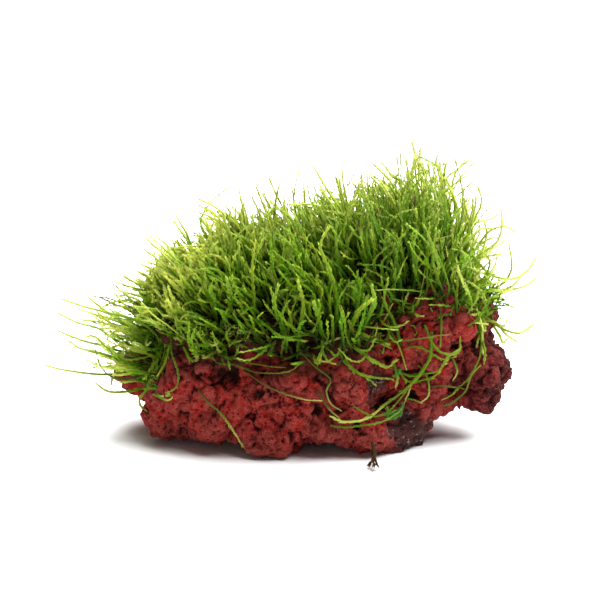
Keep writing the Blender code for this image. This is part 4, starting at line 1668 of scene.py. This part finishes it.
SLOPE_ARCHES = (
    ((-7, -6), ((-13, 58.3), (-18.9, 65.7), (-23.9, 69.2), (-26.8, 70.4))),
    ((4, 8), ((-15, 55.9), (-20.5, 61.8), (-23.5, 64.6), (-27.5, 66.6))),
    ((9, 5), ((-23.2, 55.6), (-25.4, 60.3), (-27.7, 63.4))),
    ((1, 3), ((-20.9, 57), (-23.9, 60.5), (-25.7, 63.4))),
    ((-2, -5), ((-12.3, 58.1), (-15.8, 63.8), (-19.3, 66.1))),
    ((-3, -7), ((-12.9, 59.2), (-13.6, 67), (-14.7, 73.2))),
    ((10, 14), ((-12.2, 57), (-13.1, 62), (-14.4, 66.4))),
    ((-1, -3), ((-4.6, 57.9), (-7.2, 66.5), (-9.8, 73.8))),
    ((9, 10), ((-1.7, 58.1), (-5.4, 64.8), (-8.4, 70))),
    ((9, 12), ((0.8, 58.7), (-2.3, 64.1), (-6, 67.6))),
    ((-2, -3), ((-4.2, 65.9), (-3.9, 69.6), (-3.3, 72.1))),
    ((1, 0), ((-29.4, 53.9), (-31.6, 58.3), (-34.5, 62.6))),
    ((-11, -13), ((-30.3, 50.7), (-35.4, 55.6), (-40.7, 60.5))),
    ((7, 2), ((-32.3, 49.1), (-36, 53.9), (-39.6, 57.4))),
    ((-15, -14), ((-31.8, 47.9), (-36.7, 52.5), (-41.9, 56.6))),
    ((-8, -8), ((-33.6, 43.5), (-38.2, 48.6), (-44.4, 51.6))),
    ((-3, -5), ((-35.9, 41.8), (-40.2, 45.1), (-44.8, 48.3))),
    ((12, 9), ((-33.5, 42.5), (-38.2, 47.9), (-39.5, 53.5))),
    ((-4, -7), ((-36.3, 43.9), (-35.5, 49), (-32, 53.5))),
    ((2, -0), ((-38.2, 39.5), (-45.3, 41.6), (-51.8, 44))),
    ((-6, -4), ((-36.3, 37.6), (-44.1, 40.7), (-51.6, 42.6))),
    ((-7, -6), ((-24.9, 56.8), (-28.8, 56.4), (-32.9, 56.1))),
    ((9, 5), ((-31.9, 48.8), (-34.1, 52.2), (-35.7, 56.3))),
)
CROWN_ARCHES = (
    ((-10, -13), ((14.3, 68.9), (10.7, 74.4), (7.2, 80.6))),
    ((9, 10), ((13.6, 66.1), (11.4, 69.1), (9.3, 72.1))),
    ((-5, -7), ((15.9, 68.2), (14.7, 73), (13.7, 77))),
    ((-7, -7), ((17.3, 68.5), (16.1, 73.8), (15.5, 78.8))),
    ((-11, -9), ((18.3, 69), (19.8, 73), (21.5, 76.4))),
    ((13, 18), ((24.5, 64.3), (24.2, 70.2), (24, 74.5))),
    ((9, 14), ((32.5, 68.6), (28, 73.2), (24.7, 75.3))),
    ((-11, -13), ((32.8, 71.4), (28.6, 77.3), (24.2, 81.5))),
    ((15, 18), ((37.2, 68.4), (32.9, 73.2), (28.6, 78.3))),
    ((-1, 3), ((23.5, 68.2), (22, 72.7), (21.5, 76.4))),
    ((5, 8), ((23.1, 67.9), (20.8, 71.4), (19, 73.6))),
    ((-4, -7), ((26.9, 68), (25.6, 71.8), (24.9, 74.1))),
    ((0, -4), ((6.2, 64.4), (4.7, 68.3), (4.7, 72.8))),
    ((-1, 4), ((2.9, 63.4), (1.4, 67.2), (1.4, 71.1))),
    ((-3, -8), ((12.1, 66.7), (6.7, 68.8), (0.9, 68.6))),
    ((-11, -14), ((29.9, 70.2), (28.1, 73.9), (26.5, 76.4))),
    ((10, 9), ((38, 69.1), (34.3, 73.4), (30.5, 75.6))),
)
CREST_ARCHES = (
    ((14, 22), ((42.7, 65.4), (40.4, 75.5), (38.1, 84.1))),
    ((15, 18), ((42.5, 65.3), (40.3, 76.3), (40.3, 82.6))),
    ((-6, -10), ((38.8, 68.9), (37.1, 76.8), (36.5, 82.9))),
    ((-10, -13), ((37.3, 68.9), (35, 76.1), (33.7, 82.7))),
    ((7, 3), ((44.5, 64.6), (41.5, 73.4), (39.1, 80.3))),
    ((-11, -11), ((43.4, 68.4), (41.2, 76), (40.2, 81.3))),
    ((-5, -0), ((46.4, 65.2), (44.4, 73.2), (42.4, 80))),
    ((-9, -9), ((45.3, 69.3), (44, 76.4), (42.7, 81.6))),
    ((10, 9), ((47.8, 67.8), (46.4, 74.7), (45.6, 79.3))),
    ((16, 16), ((48.7, 67), (47.7, 73.2), (48.2, 78.2))),
    ((-5, -6), ((45.6, 72.9), (46.6, 77.1), (49.5, 79.2))),
    ((-11, -12), ((49.9, 63.7), (48.2, 70.9), (45.4, 77.3))),
    ((-5, -1), ((53.5, 61.6), (51.9, 66.1), (50.8, 70.3))),
    ((11, 11), ((53, 59.7), (54.1, 65.2), (55.2, 68.6))),
    ((-11, -13), ((53.1, 63.1), (54, 68.6), (54.1, 71.9))),
    ((-5, -8), ((53, 61), (55.7, 66.5), (56.6, 70.2), (55.2, 74.2))),
    ((-6, -2), ((52.8, 62.9), (51.5, 66.8), (52.2, 68.9))),
)
RIGHT_ARCHES = (
    ((-13, -17), ((53.9, 54.6), (58.6, 49.5), (64.9, 48.2), (69.3, 51), (71.4, 55))),
    ((3, 4), ((56.2, 40.6), (62.7, 40.8), (68.8, 41.4), (73.3, 42.9), (76, 45))),
    ((4, 3), ((59.4, 40.4), (64.8, 42.9), (67.6, 48), (66.4, 55.7))),
    ((-14, -10), ((56.1, 35.7), (61, 34.5), (64.2, 30.8), (67.8, 28.1))),
    ((-13, -11), ((58, 36.1), (63.2, 32.6), (68.3, 31.2), (72.5, 33.8))),
    ((-0, 2), ((52.4, 60.8), (56.6, 62.5), (60.9, 63.3), (62.7, 64.7))),
    ((-6, -10), ((54.8, 54.6), (58.6, 60.8), (63.1, 62.8), (66.1, 61.2))),
    ((-12, -8), ((55.2, 54.4), (60.9, 58.4), (62.4, 63.2), (62.1, 67.7))),
    ((2, 6), ((53.1, 62.3), (55.5, 57.2), (61, 53.6), (65.6, 56.1))),
    ((-9, -7), ((56.8, 55.1), (58.2, 60), (57.4, 64))),
    ((-0, 1), ((63.7, 41.5), (67.4, 43), (69.8, 45.6))),
    ((0, 0), ((55.6, 51.7), (59.8, 52.3), (63.4, 52.9))),
    ((-6, -4), ((58.8, 38.8), (60, 42.2), (61.3, 44.8))),
    ((-12, -10), ((55, 39.5), (59.8, 41.7), (65.2, 43.9))),
    ((-11, -7), ((52.3, 59), (56.6, 62.2), (61, 61.3))),
    ((3, -1), ((57.1, 54.8), (60.4, 57.6), (63.1, 57.9))),
    ((-6, -1), ((60, 38.8), (62.1, 39.5), (64.2, 40.2))),
    ((3, 5), ((62.6, 29.9), (64.7, 26.6), (65.7, 24.3), (67.3, 25.7))),
    ((-13, -18), ((56.8, 36.1), (56.6, 30), (56.7, 25.8))),
)


@dataclass(frozen=True)
class Trail:
    """A single shoot that trails over the front: where it runs, as X and Z, and what it looks like."""

    name: str
    knots: Table
    habit: Habit = Habit.SPARSE
    # How brown its foot and its tip are, how cream-coloured its tip is, and how light.
    age: Pair = (0.2, 0.0)
    pale_and_glow: float = 0.0
    light: float = 0.85
    # How far its foot and its tip stand off the stone.
    stands_off: Pair = (0, 0)
    node: str = "moss_cushion"
    # If it grew this month, its leaves are a colder and brighter green.
    fresh: bool = False


@dataclass
class TrailingShoots:
    """The single shoots on the front, which lie on the stone's knobs and bridge its hollows."""

    face: StoneFace
    finish: bpy.types.Material
    fresh_finish: bpy.types.Material
    trails: tuple[Trail, ...]
    # How far apart its points are, how far it stays off the stone, how many points it bridges a hollow over,
    # and how often the bridges' ends are evened out.
    step: float = 1.3
    gap: float = 0.75
    bridge: int = 5
    rounds: int = 3
    foot_light: float = 0.3
    least_leaves: int = 6

    def build(self) -> None:
        """Makes each shoot a piece of its own."""
        rng = draws("trailing_shoots")
        for trail in self.trails:
            line = self._line(np.array(trail.knots, float))
            line[:, 1] -= np.linspace(*trail.stands_off, len(line))
            length = np.linalg.norm(np.diff(line, axis=0), axis=1).sum()
            form = FORMS[trail.habit]
            leaves = max(self.least_leaves, round(form.leaves * length / TYPICAL_LENGTH))
            form = replace(form, leaves=leaves)
            group = Shoots(line[None], rng, trail.age, trail.pale_and_glow, self.foot_light, trail.light)
            finish = self.fresh_finish if trail.fresh else self.finish
            group.piece(f"leafy_{trail.name}", form, finish, trail.node)

    def _line(self, knots: np.ndarray) -> np.ndarray:
        """Draws the shoot through its knots, in front of the stone.

        Args:
            knots: Its places as X and Z.

        Returns:
            Its points.
        """
        flat = smooth_way(knots, self.step)
        fronts = [self.face.front(x, z) for x, z in flat]
        known = [number for number, y in enumerate(fronts) if y is not None]
        depth = np.interp(np.arange(len(flat)), known, [fronts[number] for number in known])
        padded = np.pad(depth, self.bridge // 2, mode="edge")
        nearby = [padded[shift:shift + len(flat)] for shift in range(self.bridge)]
        depth = np.min(nearby, axis=0) - self.gap
        for _ in range(self.rounds):
            padded = np.pad(depth, 1, mode="edge")
            depth = (padded[:-2] + 2 * depth + padded[2:]) / 4
        return np.stack([flat[:, 0], depth, flat[:, 1]], axis=1)


TRAILS = (
    Trail(
        "trailing_shoot_left", ((-34.5, 36), (-33.5, 30), (-31.4, 25), (-31.7, 20.5), (-34.5, 18.5)),
        age=(0.5, 0.3), node="trailing_shoot_left",
    ),
    Trail(
        "trailing_shoot_low_left",
        ((-25.5, 20.5), (-23, 17.3), (-18.7, 13.4),
         (-15.6, 8.4), (-13.3, 4), (-11.6, 1.5)),
        age=(0.8, 0.0), pale_and_glow=1.0, light=1.2, node="trailing_shoot_low_left",
    ),
    Trail(
        "trailing_shoot_under_moss", ((-23, 34.5), (-20.7, 30.3), (-15.2, 28.9), (-8.8, 27.3), (-1, 27.2)),
        age=(0.5, 0.3), node="trailing_shoot_under_moss",
    ),
    Trail(
        "trailing_shoot_middle",
        ((-12.5, 25.4), (-9, 23.6), (-4.5, 21.6),
         (0.5, 19.8), (5, 18.8), (9, 18.5)),
        age=(0.8, 0.5), pale_and_glow=0.5, node="trailing_shoot_middle",
    ),
    Trail(
        "trailing_shoot_centre",
        ((3.5, 32), (7.3, 28), (11.7, 24.4),
         (10.6, 21), (11.9, 16.8), (14.9, 14.4)),
        Habit.BARE, age=(0.8, 0.5), pale_and_glow=0.6, node="trailing_shoot_centre",
    ),
    Trail(
        "trailing_shoot_right", ((15.2, 32), (17.2, 28), (21, 25), (24.8, 23), (29.5, 21.6)),
        Habit.FULL, node="trailing_shoot_right",
    ),
    Trail(
        "trailing_shoot_low_right",
        ((40.5, 36), (40, 28), (36.5, 21.5), (32.5, 17.3), (29.1, 14.6),
         (25, 13.2), (20.4, 12), (15.1, 11.8), (12.2, 13)),
        Habit.FULL, age=(0.1, 0.0), pale_and_glow=0.5, light=1.0, node="trailing_shoot_low_right",
    ),
    Trail(
        "trailing_shoot_right_end",
        ((56, 35), (56.5, 30), (54.3, 24.5),
         (51.4, 19.4), (48.1, 16), (44.5, 14.5)),
        age=(0.2, 0.1), node="trailing_shoot_right_end",
    ),
    Trail(
        "loose_shoot_01", ((-38.7, 17.9), (-34.6, 16.3), (-33, 17.3)),
        Habit.BARE, age=(0.4, 0.1), pale_and_glow=0.8,
    ),
    Trail(
        "loose_shoot_02", ((-29.8, 31.6), (-28.1, 28.6), (-26.3, 28), (-26.1, 32)),
        Habit.FULL, pale_and_glow=0.3,
    ),
    Trail(
        "loose_shoot_03", ((-22, 31.4), (-20.4, 27.6), (-15, 27.3), (-8.6, 25.1), (0.1, 26.9), (3.1, 28.8)),
        age=(0.6, 0.4),
    ),
    Trail(
        "loose_shoot_04", ((8.2, 21), (11.5, 15.3), (14.4, 12.6)),
        Habit.BARE, age=(0.9, 0.6), pale_and_glow=0.3,
    ),
    Trail(
        "loose_shoot_05",
        ((11.7, 10.7), (14.7, 10.2), (19.9, 10.4), (24.9, 10.6),
         (29.1, 11.1), (32.5, 13), (34.8, 18.4)),
        age=(0.2, 0.1), pale_and_glow=0.5,
    ),
    Trail(
        "loose_shoot_06",
        ((18.2, 16.3), (21.1, 14.3), (25.3, 11.9),
         (29.3, 12.9), (32.3, 15.8), (34.8, 19.3)),
        age=(0.3, 0.0),
    ),
    Trail(
        "loose_shoot_07", ((14, 33.2), (15.4, 29.8), (17.7, 27.7), (20.7, 25.1), (24.4, 21.2)),
        Habit.FULL,
    ),
    Trail(
        "loose_shoot_08", ((15.7, 34.8), (20, 31.8), (24.6, 27.9), (28.1, 25.3), (30.2, 26.9)),
        Habit.BROAD,
    ),
    Trail(
        "loose_shoot_09", ((32.8, 30.8), (35.8, 31.7), (39.5, 30.5), (43.7, 27.5), (47.7, 28.1)),
        age=(0.3, 0.0),
    ),
    Trail(
        "loose_shoot_10",
        ((38.3, 38.1), (39.9, 34.3), (42.2, 30.6),
         (45.1, 29.3), (48.7, 29.1), (49.3, 32.3)),
        Habit.FULL,
    ),
    Trail(
        "loose_shoot_22", ((30.4, 24.1), (34.9, 22.3), (39, 23), (42.8, 24), (45.4, 28.1), (48.7, 29.9)),
        Habit.FULL,
    ),
    Trail(
        "loose_shoot_23",
        ((31.2, 24.6), (33.5, 21.1), (35.5, 20.3),
         (38.8, 21.1), (42, 22.4), (45.1, 27.2)),
        Habit.FULL,
    ),
    Trail("loose_shoot_24", ((17.8, 37.5), (23.1, 35), (28.1, 32.3)), Habit.BROAD, stands_off=(1, 3)),
    Trail("loose_shoot_25", ((17.4, 36.5), (22.6, 34.2), (28.3, 31.4)), Habit.BROAD, stands_off=(0, 2)),
    Trail("loose_shoot_26", ((30, 26.2), (31.1, 21.9), (30.6, 19.1)), Habit.FULL, pale_and_glow=0.5),
    Trail(
        "loose_shoot_27", ((32.7, 14.6), (32.1, 11.9), (30, 10.4), (28, 11.2), (29.6, 12.5)),
        Habit.BROAD, fresh=True,
    ),
    Trail(
        "loose_shoot_34", ((32.4, 13.4), (30.9, 11.9), (29.2, 11.3), (28.2, 12.6)),
        Habit.BROAD, fresh=True,
    ),
    Trail("loose_shoot_35", ((31.9, 24.8), (31.2, 23.2), (30.4, 22.4)), Habit.BROAD, fresh=True),
    Trail(
        "loose_shoot_28", ((46.9, 27.6), (48.6, 22.6), (47.5, 19.8)),
        Habit.BARE, age=(0.5, 0.3), pale_and_glow=0.5,
    ),
    Trail(
        "loose_shoot_29", ((27.8, 36.9), (30.4, 33.1), (31.9, 29.7), (33.5, 24.6)),
        Habit.BARE, age=(0.4, 0.3),
    ),
    Trail("loose_shoot_30", ((43.1, 41.8), (43.2, 37.2), (42.9, 31.6)), Habit.BARE, age=(0.4, 0.2)),
    Trail("loose_shoot_31", ((-18.1, 31.9), (-17.1, 28.8), (-14.3, 30.3), (-14.8, 33.4)), Habit.FULL),
    Trail(
        "loose_shoot_11", ((44.8, 12.8), (48.3, 13.4), (51.3, 15.9), (52.7, 21.1), (55.4, 24.3)),
        Habit.BARE, age=(0.5, 0.2),
    ),
    Trail("loose_shoot_12", ((40.6, 19), (45.5, 19.1), (51.2, 16.4)), Habit.BARE, age=(0.9, 0.6)),
    Trail("loose_shoot_13", ((55.6, 34.4), (57.1, 28), (56.6, 24.5)), Habit.FULL, age=(0.1, 0.0)),
    Trail(
        "loose_shoot_16", ((37.1, 25.4), (39.7, 21.8), (40.1, 16.6), (37.9, 14.2)),
        Habit.BARE, age=(0.3, 0.1), pale_and_glow=0.6,
    ),
    Trail(
        "loose_shoot_17", ((33.3, 15.4), (35.9, 14.9), (38.5, 13.9)),
        Habit.BARE, age=(0.3, 0.1), pale_and_glow=0.4,
    ),
    Trail(
        "loose_shoot_21", ((23.7, 5.5), (24.2, 3.4), (23.6, 2.3), (23.7, 1.4)),
        Habit.FULL, age=(1.0, 1.0), stands_off=(0, 11),
    ),
    Trail(
        "loose_shoot_32", ((23.5, 5.6), (23.9, 3.5), (24.3, 2.2), (24.8, 1.4)),
        Habit.FULL, age=(1.0, 1.0), stands_off=(0, 11),
    ),
    Trail(
        "loose_shoot_33", ((23.9, 5.4), (23.7, 3.6), (23.3, 2.2), (22.5, 1.3)),
        Habit.FULL, age=(1.0, 1.0), stands_off=(0, 10),
    ),
)


@dataclass
class Studio:
    """A bright product set: white paper, a soft sky all round and large soft lights overhead."""

    # What the camera looks at, how high it stands over that and how far off, and its lens.
    target: Triple = (3.2, -4.1, 39.6)
    elevation: float = 12.0
    distance: float = 425.0
    lens: float = 85.0
    paper_radius: float = 700.0
    paper_corners: int = 96
    # How bright the room is for the set, and behind it for the camera.
    room: float = 0.11
    backdrop: float = 1.2
    # Each light: its name, where it stands, its width and height, and its power in watts.
    lights: tuple[tuple[str, Triple, Pair, float], ...] = (
        ("overhead_softbox", (230, 220, 840), (1500, 1100), 58.0),
        ("front_softbox", (-400, -830, 60), (500, 160), 1.4),
    )

    def build(self) -> None:
        """Makes the set, its lights and the camera."""
        bm = bmesh.new()
        radius = self.paper_radius * MM
        bmesh.ops.create_circle(bm, cap_ends=True, segments=self.paper_corners, radius=radius)
        mesh = bpy.data.meshes.new("paper_floor")
        bm.to_mesh(mesh)
        bm.free()
        floor = bpy.data.objects.new("paper_floor", mesh)
        bpy.context.scene.collection.objects.link(floor)
        mesh.materials.append(StudioPaper().material())
        world = bpy.data.worlds.new("white_room")
        world.use_nodes = True
        ground = world.node_tree.nodes["Background"]
        ground.inputs["Color"].default_value = (1, 1, 1, 1)
        seen = add_node(world.node_tree, "ShaderNodeLightPath").outputs["Is Camera Ray"]
        bright = {"Value": seen, "To Min": self.room, "To Max": self.backdrop}
        strength = add_node(world.node_tree, "ShaderNodeMapRange", bright).outputs[0]
        world.node_tree.links.new(strength, ground.inputs["Strength"])
        bpy.context.scene.world = world
        bpy.context.scene.view_settings.view_transform = "Standard"
        for name, place, size, power in self.lights:
            self._light(name, Vector(place) * MM, Vector(size) * MM, power)
        self._camera()

    def _light(self, name: str, place: Vector, size: Vector, power: float) -> None:
        """Adds a rectangular soft light that faces the object.

        Args:
            name: The light's name.
            place: Where it stands.
            size: Its width and its height.
            power: Its power in watts.
        """
        data = bpy.data.lights.new(name, "AREA")
        data.shape = "RECTANGLE"
        data.size, data.size_y = size
        data.energy = power
        lamp = bpy.data.objects.new(name, data)
        bpy.context.scene.collection.objects.link(lamp)
        lamp.location = place
        lamp.rotation_euler = (Vector(self.target) * MM - place).to_track_quat("-Z", "Y").to_euler()

    def _camera(self) -> None:
        """Adds the camera at the photograph's viewing angle."""
        data = bpy.data.cameras.new("camera")
        data.lens = self.lens
        camera = bpy.data.objects.new("camera", data)
        bpy.context.scene.collection.objects.link(camera)
        angle = math.radians(self.elevation)
        away = Vector((0, -math.cos(angle), math.sin(angle)))
        camera.location = (Vector(self.target) + away * self.distance) * MM
        camera.rotation_euler = (-away).to_track_quat("-Z", "Y").to_euler()
        bpy.context.scene.camera = camera


def build_tufts(face: StoneFace, moss: bpy.types.Material) -> None:
    """Makes the tufts at the stone's two ends.

    Args:
        face: The stone's finished face.
        moss: The moss's material.
    """
    MossTuft(
        "left_tuft",
        "moss_left_tuft",
        face,
        moss,
        shoots=28,
        patches=(((-44, -5, 31), (7, 15, 4)),),
        along=-1.0,
        rise=((24, 0.1), (30, 0.2), (36, 0.35)),
        turn=0.012,
        length=(10, 22),
        sag=0.03,
        curl=0.1,
        bow=0.3,
    ).build()
    MossTuft(
        "left_front_tuft",
        "moss_left_tuft",
        face,
        moss,
        shoots=28,
        patches=(((-40, -18, 21), (2.5, 6, 3)), ((-38, -20, 27), (3, 6, 5))),
        along=-1.0,
        rise=((16, 0.75), (21, 0.5), (27, 0.3), (33, 0.45)),
        turn=0.012,
        length=(10, 25),
        sag=0.02,
        curl=0.1,
        bow=0.3,
        strewn=0.2,
    ).build()
    MossTuft(
        "right_tuft",
        "moss_right_tuft",
        face,
        moss,
        shoots=22,
        patches=(((52, -5, 44), (5, 12, 4)),),
        along=1.0,
        rise=((34, 0.4), (40, 0.7), (46, 1.3)),
        turn=0.02,
        length=(9, 19),
        sag=0.1,
        curl=0.3,
        bow=0.5,
        strewn=0.45,
        pale_and_glow=0.85,
        lowest=0.5,
        habit=Habit.SPARSE,
    ).build()


def build_arches(face: StoneFace, moss: bpy.types.Material) -> None:
    """Makes the long shoots that stand out past the clumps.

    Args:
        face: The stone's finished face.
        moss: The moss's material.
    """
    left, top, right = "moss_left_tuft", "moss_cushion", "moss_right_tuft"
    arches = (
        ArchingShoots("left_arches", left, face, moss, LEFT_ARCHES, Habit.WIRY, pale_and_glow=0.45, lightest=1.0),
        ArchingShoots("left_hanging", left, face, moss, LEFT_HANGING, pale_and_glow=0, lightest=0.9, companions=1),
        ArchingShoots("front_fronds", top, face, moss, FRONT_FRONDS, Habit.BROAD, pale_and_glow=0, lightest=0.9),
        ArchingShoots("slope_arches", top, face, moss, SLOPE_ARCHES, companions=1),
        ArchingShoots("crown_arches", top, face, moss, CROWN_ARCHES, companions=1),
        ArchingShoots("crest_arches", top, face, moss, CREST_ARCHES, companions=1),
        ArchingShoots("right_arches", right, face, moss, RIGHT_ARCHES, Habit.WIRY, 0.9, 0.5, lightest=1.1),
    )
    for group in arches:
        group.build()


def main() -> None:
    """Builds the studio, the stone and the moss in order."""
    logging.basicConfig(level=logging.INFO, format="%(message)s")
    Studio().build()
    stone = LavaStone()
    face = stone.build()
    moss = LivingMoss().material()
    cushion = MossCushion(stone, face, moss, draws("moss_cushion"))
    cushion.build()
    Undergrowth(cushion).build()
    HangingEdge(cushion).build()
    build_tufts(face, moss)
    build_arches(face, moss)
    fresh_moss = LivingMoss("fresh_moss", deep="#2A6E28", body="#3FA03A", tip="#84D060").material()
    TrailingShoots(face, moss, fresh_moss, TRAILS).build()


if __name__ == "__main__":
    main()
